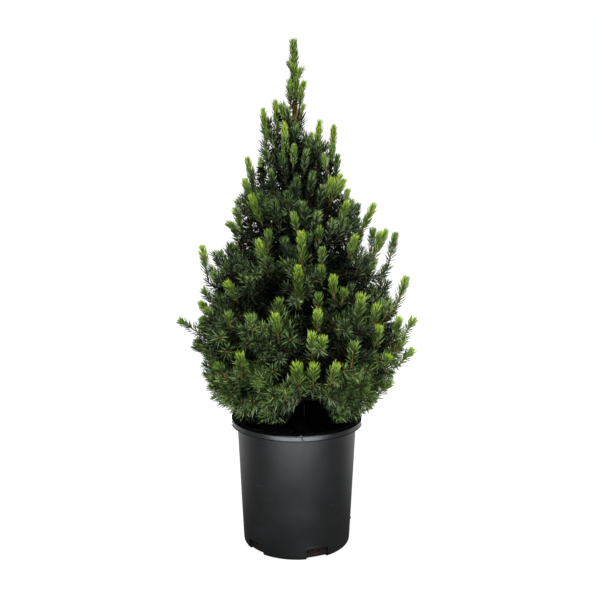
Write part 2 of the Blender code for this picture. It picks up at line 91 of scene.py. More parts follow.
def makeWorld():
    world = bpy.data.worlds.new("studio")
    world.use_nodes = True
    nodes, links = world.node_tree.nodes, world.node_tree.links
    sky = nodes["Background"]
    sky.inputs["Color"].default_value = (1, 1, 1, 1)
    sky.inputs["Strength"].default_value = studio["skyStrength"]
    backdrop = nodes.new("ShaderNodeBackground")     # what the camera sees behind the plant
    backdrop.inputs["Color"].default_value = (1, 1, 1, 1)
    backdrop.inputs["Strength"].default_value = 1.0
    path = nodes.new("ShaderNodeLightPath")
    mix = nodes.new("ShaderNodeMixShader")
    links.new(path.outputs["Is Camera Ray"], mix.inputs["Fac"])
    links.new(sky.outputs[0], mix.inputs[1])
    links.new(backdrop.outputs[0], mix.inputs[2])
    links.new(mix.outputs[0], nodes["World Output"].inputs["Surface"])
    scene = bpy.context.scene
    scene.world = world
    scene.view_settings.view_transform = "Standard"
    scene.view_settings.look = "None"


def makeLights():
    for name, place, target, size, power, colour in studio["lights"]:
        data = bpy.data.lights.new(name, "AREA")
        data.shape = "RECTANGLE"
        data.size, data.size_y = size
        data.energy = power
        data.color = colour
        light = bpy.data.objects.new(name, data)
        bpy.context.collection.objects.link(light)
        light.location = place
        aim = Vector(target) - Vector(place)
        light.rotation_euler = aim.to_track_quat("-Z", "Y").to_euler()
        light.visible_camera = False
    data = bpy.data.lights.new("sun", "SUN")
    data.energy = studio["sunStrength"]
    data.angle = math.radians(studio["sunSoftness"])
    sun = bpy.data.objects.new("sun", data)
    sun.rotation_euler = (math.radians(studio["sunForward"]), math.radians(studio["sunTurn"]), 0)
    bpy.context.collection.objects.link(sun)


# Node helpers: what feeds a node is either another node's socket or a plain value


def feed(tree, source, socket):
    if isinstance(source, bpy.types.NodeSocket):
        tree.links.new(source, socket)
    else:
        socket.default_value = source


def mathNode(tree, operation, *sources, clamp=False):
    node = tree.nodes.new("ShaderNodeMath")
    node.operation = operation
    node.use_clamp = clamp
    for source, socket in zip(sources, node.inputs):
        feed(tree, source, socket)
    return node.outputs[0]


def vectorNode(tree, operation, *sources):
    node = tree.nodes.new("ShaderNodeVectorMath")
    node.operation = operation
    for source, socket in zip(sources, node.inputs):
        feed(tree, source, socket)
    return node.outputs["Value" if operation == "LENGTH" else "Vector"]


def rangeNode(tree, value, span, results=(0.0, 1.0)):
    # a value that runs from one end of a span to the other, as one that runs over the results
    node = tree.nodes.new("ShaderNodeMapRange")
    labels = ("Value", "From Min", "From Max", "To Min", "To Max")
    for label, source in zip(labels, (value, *span, *results)):
        feed(tree, source, node.inputs[label])
    return node.outputs["Result"]


def mixNode(tree, share, first, second):
    node = tree.nodes.new("ShaderNodeMix")
    node.data_type = "RGBA"
    for label, source in zip(("Factor", "A", "B"), (share, first, second)):
        feed(tree, source, node.inputs[label])
    return node.outputs["Result"]


def noiseNode(tree, place, scale, detail, roughness=0.5):
    node = tree.nodes.new("ShaderNodeTexNoise")
    labels = ("Vector", "Scale", "Detail", "Roughness")
    for label, source in zip(labels, (place, scale, detail, roughness)):
        feed(tree, source, node.inputs[label])
    return node.outputs["Fac"]


def ownPlace(tree):
    return tree.nodes.new("ShaderNodeTexCoord").outputs["Object"]


def partOf(tree, vector, axis):
    node = tree.nodes.new("ShaderNodeSeparateXYZ")
    tree.links.new(vector, node.inputs[0])
    return node.outputs[axis]


def newMaterial(name, roughness, specular):
    surface = bpy.data.materials.new(name)
    surface.use_nodes = True
    shader = surface.node_tree.nodes["Principled BSDF"]
    shader.inputs["Roughness"].default_value = roughness
    shader.inputs["Specular IOR Level"].default_value = specular
    return surface, surface.node_tree, shader


def makeFloor():
    # it glows for the camera, is darker to the plant, and glows for glossy rays as a painted
    # reflection in the pot's wall, with a painted shadow near the pot
    under = (0, 0, -studio["floorUnder"])
    bpy.ops.mesh.primitive_plane_add(size=studio["floorSize"], location=under)
    floor = bpy.context.object
    floor.name = "floor"
    surface, tree, shader = newMaterial("floorSheet", 0.9, 0.1)
    shader.inputs["Emission Color"].default_value = (1, 1, 1, 1)
    path = tree.nodes.new("ShaderNodeLightPath")
    seen, mirrored = path.outputs["Is Camera Ray"], path.outputs["Is Glossy Ray"]
    place = ownPlace(tree)
    # painted reflection: a glow for glossy rays only, nothing near the pot as a painted shadow, and
    # brighter behind it
    away = vectorNode(tree, "LENGTH", place)
    nearby = rangeNode(tree, away, studio["shineRange"], (0.0, studio["floorShine"]))
    depth = partOf(tree, place, "Y")
    behind = rangeNode(tree, depth, studio["rearRange"], (1.0, studio["rearShine"]))
    shine = mathNode(tree, "MULTIPLY", mathNode(tree, "MULTIPLY", nearby, behind), mirrored)
    glow = mathNode(tree, "MULTIPLY", seen, studio["floorGlow"])
    tone = rangeNode(tree, seen, (0.0, 1.0), (studio["floorBounce"], studio["floorWhite"]))
    feed(tree, tone, shader.inputs["Base Color"])
    feed(tree, mathNode(tree, "ADD", glow, shine), shader.inputs["Emission Strength"])
    floor.data.materials.append(surface)
    floor.select_set(False)


makeCamera()
makeWorld()
makeLights()
makeFloor()
print("camera and studio ready")

# Materials


def newGroup(name, inputs, outputs):
    group = bpy.data.node_groups.new(name, "ShaderNodeTree")
    for label, kind, value in inputs:
        socket = group.interface.new_socket(label, in_out="INPUT", socket_type=kind)
        socket.default_value = value
    for label, kind in outputs:
        group.interface.new_socket(label, in_out="OUTPUT", socket_type=kind)
    start = group.nodes.new("NodeGroupInput")
    end = group.nodes.new("NodeGroupOutput")
    return group, start.outputs, end.inputs


def makeMottle():
    # two colours mixed by soft noise, and a height for the bump, at a given scale
    group, start, end = newGroup(
        "mottle",
        [
            ("Light", "NodeSocketColor", (0.5, 0.5, 0.5, 1)),
            ("Dark", "NodeSocketColor", (0.2, 0.2, 0.2, 1)),
            ("Scale", "NodeSocketFloat", 40.0),
            ("Contrast", "NodeSocketFloat", 1.0),
        ],
        [("Colour", "NodeSocketColor"), ("Height", "NodeSocketFloat")],
    )
    pattern = noiseNode(group, ownPlace(group), start["Scale"], 5, 0.6)
    centred = mathNode(group, "SUBTRACT", pattern, 0.5)
    spread = mathNode(group, "MULTIPLY_ADD", centred, start["Contrast"], 0.5, clamp=True)
    feed(group, mixNode(group, spread, start["Dark"], start["Light"]), end["Colour"])
    feed(group, pattern, end["Height"])
    return group


def attributeNode(tree, name):
    node = tree.nodes.new("ShaderNodeAttribute")
    node.attribute_name = name
    return node.outputs["Fac"]


needleLooks = {
    "roughness": 0.42,
    "rootShadeFade": (0.0, 0.61),     # the stretch of a needle over which the painted shade at its root fades
    "bloomAndHighlight": (0.50, 0.95),       # the shades over which the paler colour comes in: partly real bloom, partly painted highlight
}

woodLooks = {
    "contrast": 2.2,
    "specular": 0.25,
}


def makeNeedleTint():
    # a needle's colour: painted shade darker towards its root, and paler on needles whose random tint
    # is high, partly real bloom and partly painted highlight
    group, start, end = newGroup(
        "needleTint",
        [
            ("Base", "NodeSocketColor", (0.1, 0.2, 0.05, 1)),
            ("Root", "NodeSocketColor", (0.03, 0.06, 0.02, 1)),
            ("Bloom", "NodeSocketColor", (0.2, 0.3, 0.2, 1)),
        ],
        [("Colour", "NodeSocketColor")],
    )
    rise = rangeNode(group, attributeNode(group, "along"), needleLooks["rootShadeFade"])
    pale = rangeNode(group, attributeNode(group, "tint"), needleLooks["bloomAndHighlight"])
    rooted = mixNode(group, rise, start["Root"], start["Base"])
    feed(group, mixNode(group, pale, rooted, start["Bloom"]), end["Colour"])
    return group


mottle = makeMottle()
needleTint = makeNeedleTint()


def placeGroup(tree, group, **values):
    node = tree.nodes.new("ShaderNodeGroup")
    node.node_tree = group
    for label, value in values.items():
        node.inputs[label].default_value = value
    return node.outputs


def mottled(tree, light, dark, scale, contrast):
    return placeGroup(tree, mottle, Light=(*light, 1), Dark=(*dark, 1), Scale=scale,
                      Contrast=contrast)


def addBump(tree, shader, height, distance):
    bump = tree.nodes.new("ShaderNodeBump")
    bump.inputs["Distance"].default_value = distance
    bump.inputs["Strength"].default_value = 1.0
    feed(tree, height, bump.inputs["Height"])
    feed(tree, bump.outputs["Normal"], shader.inputs["Normal"])


def needleMaterial(name, base, root, bloomAndHighlight, specular):
    surface, tree, shader = newMaterial(name, needleLooks["roughness"], specular)
    tinted = placeGroup(tree, needleTint, Base=(*base, 1), Root=(*root, 1), Bloom=(*bloomAndHighlight, 1))
    feed(tree, tinted["Colour"], shader.inputs["Base Color"])
    return surface


def woodMaterial(name, light, dark, scale, bump, roughness):
    surface, tree, shader = newMaterial(name, roughness, woodLooks["specular"])
    grain = mottled(tree, light, dark, scale, woodLooks["contrast"])
    feed(tree, grain["Colour"], shader.inputs["Base Color"])
    addBump(tree, shader, grain["Height"], bump)
    return surface


print("shader groups ready")

# The source's rule for trunk, limbs and room, written again

trunk = {
    "mixLevel": 0.1475,      # heights at which it starts and ends
    "top": 0.548,
    "foot": Vector((0.003, 0.002)),      # its middle at those two heights
    "head": Vector((-0.002, 0.0)),
    "sway": 0.0022,          # to either side, and the share of it that is also to and fro
    "swayForward": 0.6,
    "radius": 0.0072,
    "topRadius": 0.0015,
    "flareRadius": 0.0105,
    "flareHeight": 0.018,
}

crown = {
    # radius at each height, from under the skirt up to the leader's tip
    "outline": (
        (0.160, 0.086), (0.185, 0.108), (0.210, 0.122), (0.245, 0.140), (0.290, 0.152),
        (0.340, 0.139), (0.385, 0.122), (0.430, 0.099), (0.465, 0.073), (0.510, 0.053),
        (0.552, 0.042), (0.575, 0.016), (0.630, 0.012),
    ),
    "shift": 0.005,          # how far its middle lies to the right at the foot
    "top": 0.627,
    "tipMargin": 0.006,
    "limbOut": 0.62,         # where a limb's bend lies, as shares of its reach and of its rise
    "limbUp": 0.24,
    "boughShare": 0.34,      # of each limb that is a bare bough
    "leaderTip": Vector((-0.0035, 0.0, 0.6215)),
    "cell": 0.006,           # between the places that stand for a limb in measuring room
    "potHeight": 0.165,
    "rimRadius": 0.0825,
    "potRoom": 0.0045,
    "skirtDrop": 0.010,      # how far foliage outside the rim may hang below it
}

# each bough: height on the trunk in mm, bearing in degrees from the front towards the right,
# height of its tip in mm, and share of the crown's radius that it has there
tiers = {
    "skirt": (
        (174, -91, 287, 0.98), (182, 80, 278, 1.02), (190, -16, 230, 0.95), (178, 176, 240, 0.96),
        (196, -58, 204, 1.00), (186, 128, 252, 0.98), (200, 36, 206, 1.00), (192, -136, 246, 0.98),
    ),
    "lower": (
        (228, 92, 336, 0.98), (240, -66, 316, 0.93), (252, -18, 296, 0.92), (232, 146, 322, 0.96),
        (262, 38, 306, 0.95), (246, -160, 318, 0.95), (236, -112, 332, 0.95),
    ),
    "middle": (
        (298, -86, 384, 0.98), (310, 82, 396, 1.02), (324, 4, 368, 0.93), (304, 168, 382, 0.96),
        (334, -38, 374, 0.90), (316, -140, 388, 0.95),
    ),
    "upper": (
        (372, 66, 434, 1.02), (384, -78, 452, 0.98), (394, 158, 446, 0.95), (406, -6, 442, 0.88),
    ),
    "crown": ((442, -84, 550, 1.00), (454, 58, 528, 1.02), (466, 178, 534, 0.95)),
}

twigRule = {
    "count": {"skirt": 8, "lower": 7, "middle": 6, "upper": 5, "crown": 4, "leader": 3},
    "length": {
        "skirt": 0.072, "lower": 0.068, "middle": 0.062,
        "upper": 0.052, "crown": 0.040, "leader": 0.026,
    },
    "stations": (0.0, 0.34, 0.68, 1.0),
    "angle": 46,             # degrees off its limb
    "angleSwing": 7,
    "turnSwing": 14,
    "lengthSwing": 0.1,
    "taper": 0.42,           # how much shorter twigs are at the limb's tip, as a share
    "lift": 0.55,            # how strongly a twig turns up, and on along its limb
    "forward": 0.25,
    "first": 0.04,           # the stretch of the leafy limb that bears twigs
    "last": 0.80,
    "tries": (1.0, 0.84, 0.7, 0.56),     # lengths tried until the twig keeps its space
    "shortest": 0.017,
    "goldenTurn": 137.5,
    "room": 0.0092,          # how much nearer to its own limb than to any other a twig stays
    "seed": 11,
}


def bearingVector(bearing):
    angle = math.radians(bearing)
    return Vector((math.sin(angle), -math.cos(angle), 0.0))


def trunkShare(height):
    return (height - trunk["mixLevel"]) / (trunk["top"] - trunk["mixLevel"])


def trunkPoint(height):
    share = trunkShare(height)
    flat = trunk["foot"].lerp(trunk["head"], share)
    sway = trunk["sway"] * math.sin(share * 2 * math.pi)
    return Vector((flat.x + sway, flat.y - sway * trunk["swayForward"], height))


def trunkRadius(height):
    plain = trunk["radius"] + (trunk["topRadius"] - trunk["radius"]) * trunkShare(height)
    flare = max(0.0, 1 - (height - trunk["mixLevel"]) / trunk["flareHeight"])
    return plain + (trunk["flareRadius"] - trunk["radius"]) * flare**2


def crownRadius(height):
    heights, radii = zip(*crown["outline"])
    return float(np.interp(height, heights, radii))


def crownCentre(height):
    return Vector((crown["shift"] * (1 - height / crown["top"]), 0.0, height))


def limbPoint(limb, t):
    u = 1 - t
    return limb["start"] * (u * u) + limb["shoulder"] * (2 * u * t) + limb["tip"] * (t * t)


def limbHeading(limb, t):
    way = (limb["shoulder"] - limb["start"]) * (1 - t) + (limb["tip"] - limb["shoulder"]) * t
    return way.normalized()


def makeLimb(tier, number, start, shoulder, tip):
    limb = {"tier": tier, "number": number, "start": start, "shoulder": shoulder, "tip": tip}
    limb["split"] = 0.0 if tier == "leader" else crown["boughShare"]
    count = max(4, round((tip - start).length / crown["cell"]))
    limb["samples"] = [limbPoint(limb, i / count) for i in range(count + 1)]
    return limb


def boughLimb(tier, number, trunkMm, bearing, tipMm, share):
    start = trunkPoint(trunkMm / 1000)
    height = tipMm / 1000
    reach = crownRadius(height) * share - crown["tipMargin"]
    tip = crownCentre(height) + bearingVector(bearing) * reach
    shoulder = start.lerp(tip, crown["limbOut"])
    shoulder.z = start.z + (tip.z - start.z) * crown["limbUp"]
    return makeLimb(tier, number, start, shoulder, tip)


def makeLimbs():
    made = [
        boughLimb(tier, i + 1, *row) for tier, rows in tiers.items() for i, row in enumerate(rows)
    ]
    start = trunkPoint(trunk["top"])
    shoulder = start.lerp(crown["leaderTip"], 0.5)
    made.append(makeLimb("leader", 1, start, shoulder, crown["leaderTip"].copy()))
    height = trunk["top"] - trunk["mixLevel"]
    count = round(height / crown["cell"])
    core = [trunkPoint(trunk["mixLevel"] + height * i / count) for i in range(count)]
    for limb in made:
        rest = [p for other in made if other is not limb for p in other["samples"]]
        limb["own"] = np.array(limb["samples"])
        limb["others"] = np.array(rest + core)
    everything = np.array([p for limb in made for p in limb["samples"]])
    trunkLimb = {"tier": "trunk", "number": 1, "own": np.array(core), "others": everything}
    return made, trunkLimb


def nearest(places, samples):
    gaps = places[:, None, :] - samples[None, :, :]
    return np.sqrt(np.einsum("ijk,ijk->ij", gaps, gaps).min(axis=1))


def ownSpace(limb, places, room):
    # which places lie in the limb's own space and clear of the pot
    out = np.hypot(places[:, 0], places[:, 1])
    overPot = out < crown["rimRadius"] + crown["potRoom"]
    floor = np.where(overPot, crown["potHeight"], crown["potHeight"] - crown["skirtDrop"])
    clear = nearest(places, limb["others"]) - nearest(places, limb["own"]) > room
    z = places[:, 2]
    return (z >= floor + crown["potRoom"]) & (z <= crown["top"]) & clear


def crownDepth(places):
    # how far inside the crown's outline, which only the furthest tips reach
    heights, radii = zip(*crown["outline"])
    centreX = crown["shift"] * (1 - places[:, 2] / crown["top"])
    out = np.hypot(places[:, 0] - centreX, places[:, 1])
    return np.interp(places[:, 2], heights, radii) - out


body = {
    # how far the dense foliage reaches at each height, on the left and on the right
    "reach": (
        (0.169, 0.076, 0.084), (0.185, 0.092, 0.098), (0.202, 0.101, 0.105), (0.225, 0.106, 0.113),
        (0.250, 0.114, 0.124), (0.275, 0.119, 0.126), (0.300, 0.108, 0.114), (0.326, 0.101, 0.105),
        (0.355, 0.092, 0.094), (0.368, 0.084, 0.080), (0.380, 0.077, 0.075), (0.400, 0.070, 0.074),
        (0.425, 0.069, 0.067), (0.449, 0.059, 0.056), (0.467, 0.051, 0.049), (0.491, 0.044, 0.045),
        (0.499, 0.042, 0.038), (0.507, 0.040, 0.026), (0.518, 0.036, 0.015), (0.530, 0.031, 0.008),
        (0.546, 0.022, 0.008), (0.556, 0.011, 0.007), (0.575, 0.006, 0.006),
    ),
    "frontSide": 0.7,        # below 1, the front and back are more like the right than the left
    "twigProud": 0.005,      # how far a twig may stand out of it, and then one of the leader's
    "leaderTwigProud": 0.0,
    # shoots that end past this share of the reach at each height are outer ones
    "outerShare": ((0.17, 0.73), (0.40, 0.64), (0.46, 0.42), (0.51, 0.28), (0.55, 0.0)),
    "innerDepth": 0.012,     # and so are those that end less far inside it than this
    # how wide needles stand off their shoot at each height, as a share of the skirt's
    "spread": ((0.17, 1.0), (0.33, 1.0), (0.44, 0.88), (0.50, 0.77), (0.56, 0.80), (0.63, 0.90)),
    # the dark hollow under the crown in front, which ends at a slope up towards the viewer
    "hollowAcross": 0.0160,      # its middle, to the right of the pot's axis
    "hollowWide": 0.0103,        # half the width of its level top
    "hollowTop": 0.185,
    "hollowSides": 1.7,          # how steeply it falls at both sides
    "hollowSlope": 0.293,        # and towards the back
    "hollowBack": 0.03,          # it ends this far behind the axis
    "frontFloor": 0.155,
    # an opening in front of the leader's foot, whose bark shows there, and half its sizes
    "leaderFoot": (-0.001, -0.010, 0.547),
    "footRoom": (0.0062, 0.012, 0.0115),
    "freeDepth": -0.02,      # what counts as the depth of a place that is left free
}


def cleared(places):
    # places that the foliage leaves free
    x, y, z = places.T
    aside = np.maximum(np.abs(x - body["hollowAcross"]) - body["hollowWide"], 0)
    ceiling = np.maximum(body["hollowTop"] - body["hollowSides"] * aside, body["frontFloor"])
    ceiling -= body["hollowSlope"] * y
    away = np.linalg.norm((places - body["leaderFoot"]) / body["footRoom"], axis=1)
    return (z < ceiling) & (y < body["hollowBack"]) | (away < 1)


def bodyDepth(places):
    heights, left, right = np.array(body["reach"]).T
    x, y, z = places.T
    out = np.hypot(x, y)
    share = ((1 + x / np.maximum(out, 1e-6)) / 2) ** body["frontSide"]
    reach = np.interp(z, heights, left) * (1 - share) + np.interp(z, heights, right) * share
    return np.where(cleared(places), body["freeDepth"], reach - out)


def placesHeld(limb, places, room, proud=0.0, depth=crownDepth):
    places = np.asarray(places, float).reshape(-1, 3)
    return ownSpace(limb, places, room) & (depth(places) >= -proud)


def perpendicular(way, turn):
    side = way.cross(Vector((0, 0, 1)))
    if side.length < 0.05:
        side = way.cross(Vector((1, 0, 0)))
    side.normalize()
    return Quaternion(way, math.radians(turn)) @ side


def twigPath(root, way, side, angle, length, lift, stations):
    lean = math.radians(angle)
    leaving = way * math.cos(lean) + side * math.sin(lean)
    lifted = (leaving + Vector((0, 0, 1)) * lift + way * twigRule["forward"]).normalized()
    points = []
    for share in stations:
        bend = share * share / 2
        points.append(root + (leaving * (share - bend) + lifted * bend) * length)
    return points


limbs, trunkLimb = makeLimbs()
print("limbs:", len(limbs))

# Shoots: the source's twigs first, then finer ones on them, between them and up the trunk

shootRule = {
    "stations": (0.0, 0.2, 0.4, 0.6, 0.8, 1.0),
    "room": -0.006,          # how far a fine shoot may reach past the middle to the next limb
    "tries": (1.0, 0.86, 0.74, 0.62, 0.5),
    "shortest": 0.015,
    "spacing": 0.0085,       # between side shoots along a twig
    "stemSpacing": 0.0066,   # between the shoots along a limb
    "trunkSpacing": 0.0032,
    "length": {
        "skirt": 0.044, "lower": 0.044, "middle": 0.042,
        "upper": 0.038, "crown": 0.032, "leader": 0.014, "trunk": 0.044,
    },
    "lift": {
        "skirt": 0.60, "lower": 1.0, "middle": 1.4,
        "upper": 1.8, "crown": 2.3, "leader": 4.0, "trunk": 1.5,
    },
    "taper": 0.30,
    "angle": 46,
    "angleSwing": 12,
    "turnSwing": 26,
    "lengthSwing": 0.22,
    "placeSwing": (0.2, 0.8),        # where it stands in its own share of the path
    "trimSteps": 40,
    "leastKept": 0.3,        # share of a twig that is left after trimming, or it is dropped
    # the shares of each kind of limb between which side shoots stand
    "onTrunk": (0.0, 1.0),
    "onTwig": (0.12, 0.90),
    "onStem": (0.0, 0.95),
    "onBough": (0.15, 1.0),
    "trunkFrom": 0.176,      # height of the lowest ones on the trunk
    "trunkBare": 0.02,       # stretch under its top that has none
}


def pathAt(path, share):
    spot = share * (len(path) - 1)
    low = min(int(spot), len(path) - 2)
    way = (path[low + 1] - path[low]).normalized()
    return path[low].lerp(path[low + 1], spot - low), way


def pathLength(path):
    return sum((b - a).length for a, b in zip(path, path[1:]))


def trimmed(path, proud):
    # the stretch of a twig that stands out of the foliage no further than allowed
    steps = shootRule["trimSteps"]
    places = np.array([pathAt(path, share)[0] for share in np.linspace(0, 1, steps + 1)])
    outside = np.flatnonzero(bodyDepth(places) < -proud)
    last = (outside[0] - 1) / steps if len(outside) else 1.0
    if last < shootRule["leastKept"]:
        return None
    count = len(path) - 1
    return [pathAt(path, last * i / count)[0] for i in range(count + 1)]


def sourceTwigs(limb, rng):
    # the same draws in the same order as the source, so that these twigs are its twigs
    count = twigRule["count"][limb["tier"]]
    proud = body["leaderTwigProud" if limb["tier"] == "leader" else "twigProud"]
    phase = rng.uniform(0, 360)
    made = []
    for k in range(count):
        along = twigRule["first"] + (twigRule["last"] - twigRule["first"]) * (k + 0.5) / count
        t = limb["split"] + (1 - limb["split"]) * along
        way = limbHeading(limb, t)
        swing = twigRule["turnSwing"]
        turn = phase + twigRule["goldenTurn"] * k + rng.uniform(-swing, swing)
        side = perpendicular(way, turn)
        swing = twigRule["angleSwing"]
        angle = twigRule["angle"] + rng.uniform(-swing, swing)
        swing = 1 + rng.uniform(-twigRule["lengthSwing"], twigRule["lengthSwing"])
        longest = twigRule["length"][limb["tier"]] * (1 - twigRule["taper"] * along) * swing
        root = limbPoint(limb, t)
        for share in twigRule["tries"]:
            length = longest * share
            if length < twigRule["shortest"]:
                break
            grown = (root, way, side, angle, length, twigRule["lift"])
            tested = twigPath(*grown, twigRule["stations"])
            if placesHeld(limb, tested[1:], twigRule["room"]).all():
                kept = trimmed(twigPath(*grown, shootRule["stations"]), proud)
                made += [kept] if kept else []
                break
    return made


def fineShoot(limb, root, way, turn, longest, rng):
    side = perpendicular(way, turn)
    angle = shootRule["angle"] + rng.uniform(-1, 1) * shootRule["angleSwing"]
    longest *= 1 + rng.uniform(-1, 1) * shootRule["lengthSwing"]
    lift = shootRule["lift"][limb["tier"]]
    for share in shootRule["tries"]:
        length = longest * share
        if length < shootRule["shortest"]:
            return None
        path = twigPath(root, way, side, angle, length, lift, shootRule["stations"])
        if placesHeld(limb, path[2:], shootRule["room"], 0.0, bodyDepth).all():
            return path
    return None


def sideShoots(limb, path, stretch, spacing, rng):
    made = []
    first, last = stretch
    length = pathLength(path)
    count = max(1, round(length * (last - first) / spacing))
    phase = rng.uniform(0, 360)
    for k in range(count):
        share = first + (last - first) * (k + rng.uniform(*shootRule["placeSwing"])) / count
        root, way = pathAt(path, share)
        turn = phase + twigRule["goldenTurn"] * k
        turn += rng.uniform(-1, 1) * shootRule["turnSwing"]
        longest = shootRule["length"][limb["tier"]] * (1 - shootRule["taper"] * share)
        grown = fineShoot(limb, root, way, turn, longest, rng)
        if grown:
            made.append(grown)
    return made


def limbPath(limb, first, last, count):
    return [limbPoint(limb, first + (last - first) * i / count) for i in range(count + 1)]


def growShoots(limb):
    rng = random.Random(f"{twigRule['seed']}-{limb['tier']}-{limb['number']}")
    fine = random.Random(f"fine-{limb['tier']}-{limb['number']}")
    rule = shootRule
    made = []
    finer = []
    if limb["tier"] == "trunk":
        heights = np.linspace(rule["trunkFrom"], trunk["top"] - rule["trunkBare"], 30)
        stem = [trunkPoint(z) for z in heights]
        finer += sideShoots(limb, stem, rule["onTrunk"], rule["trunkSpacing"], fine)
    else:
        split = limb["split"]
        stem = limbPath(limb, split, 1, 10)
        if limb["tier"] != "leader":
            stem = trimmed(stem, body["twigProud"]) or stem
        made.append({"limb": limb, "path": stem, "kind": "stem"})
        for path in sourceTwigs(limb, rng):
            made.append({"limb": limb, "path": path, "kind": "twig"})
            finer += sideShoots(limb, path, rule["onTwig"], rule["spacing"], fine)
        finer += sideShoots(limb, stem, rule["onStem"], rule["stemSpacing"], fine)
        if split:
            bough = limbPath(limb, 0, split, 6)
            finer += sideShoots(limb, bough, rule["onBough"], rule["stemSpacing"], fine)
    made += [{"limb": limb, "path": path, "kind": "fine"} for path in finer]
    return made


fillRule = {
    "draws": 30000,
    "widest": 0.0088,        # a place farther than this from every shoot gets one
    "inside": 0.005,         # and lies at least this far inside the dense foliage
    "longest": 0.055,
    "low": 0.172,
    "high": 0.56,
    "room": -0.022,
    "trunkRoom": 0.006,
    "droop": 0.25,           # how strongly such a shoot leaves downwards
    "shares": (0.0, 0.25, 0.5, 0.75, 1.0),       # places on a shoot that others are near to
}


def placesOn(made, shares):
    places = [pathAt(shoot["path"], share)[0] for shoot in made for share in shares]
    return places, [shoot["limb"] for shoot in made for _ in shares]


def fillGaps(made):
    # places inside the crown that no shoot comes near get one from the nearest twig
    rng = np.random.default_rng(41)
    draws = fillRule["draws"]
    heights = rng.uniform(fillRule["low"], fillRule["high"], draws)
    turns = rng.uniform(0, 2 * math.pi, draws)
    outs = np.array([crownRadius(z) for z in heights]) * np.sqrt(rng.uniform(0, 1, draws))
    targets = np.stack([np.sin(turns) * outs, -np.cos(turns) * outs, heights], axis=1)
    targets = targets[bodyDepth(targets) > fillRule["inside"]]
    places, owners = placesOn(made, fillRule["shares"])
    used = len(places)
    held = np.zeros((used + len(targets) * len(shootRule["stations"]), 3), np.float32)
    held[:used] = places
    for target in targets:
        wood = trunkRadius(min(target[2], trunk["top"]))
        if np.hypot(*target[:2]) < wood + fillRule["trunkRoom"]:
            continue
        gaps = np.linalg.norm(held[:used] - target, axis=1)
        near = int(gaps.argmin())
        closer = np.interp(target[2], *zip(*body["spread"]))
        if not fillRule["widest"] * closer < gaps[near] < fillRule["longest"]:
            continue
        limb = owners[near]
        if not placesHeld(limb, target, fillRule["room"]).all():
            continue
        root = Vector(held[near])
        reach = Vector(target) - root
        leaving = (reach.normalized() - Vector((0, 0, fillRule["droop"]))).normalized()
        leaving *= reach.length
        path = [root + leaving * (s - s * s) + reach * (s * s) for s in shootRule["stations"]]
        made.append({"limb": limb, "path": path, "kind": "fill"})
        for place in path[1:]:
            held[used] = place
            owners.append(limb)
            used += 1


# Candles: the year's upright new shoots, whose pale tips stand out of the dark foliage

candleRule = {
    "length": ((0.17, 0.036), (0.30, 0.042), (0.45, 0.048), (0.53, 0.044)),
    "lean": ((0.17, 52), (0.24, 44), (0.32, 26), (0.42, 17), (0.53, 6)),     # from upright
    "facing": 0.45,          # share of the lean that those in front have towards the camera
    "swing": 0.13,
    "proud": 0.008,          # how far in front of the dense foliage a tip stands
    "bend": 0.4,
    "shares": (0.1, 0.3, 0.5, 0.7, 0.9),         # places on a shoot that may carry one
    "aligned": 0.8,          # how much a place below the foot is preferred to one beside it
    "blunt": 5,              # pixels from the shoot's own end to the top of its needles
    "sight": (0.85, 0.001, 450),     # first place tried on a line of sight, step and count
    "starLength": 0.026,
    "starSpread": 3.5,       # how strongly it also points away from the axis
    "rearCount": 180,
    "rearHeights": (0.19, 0.53),
    "rearHigher": 0.62,      # below 1, they lie closer together low down
    "rearFrom": 84,          # bearing past which the tips come from the rule
    "rearTurnSwing": 9,
    "rearOut": 0.2,          # a radius outside the crown, from which its surface is found
    "rearProud": (0.2, 1.6),
    "rearLength": (0.8, 1.1),
}
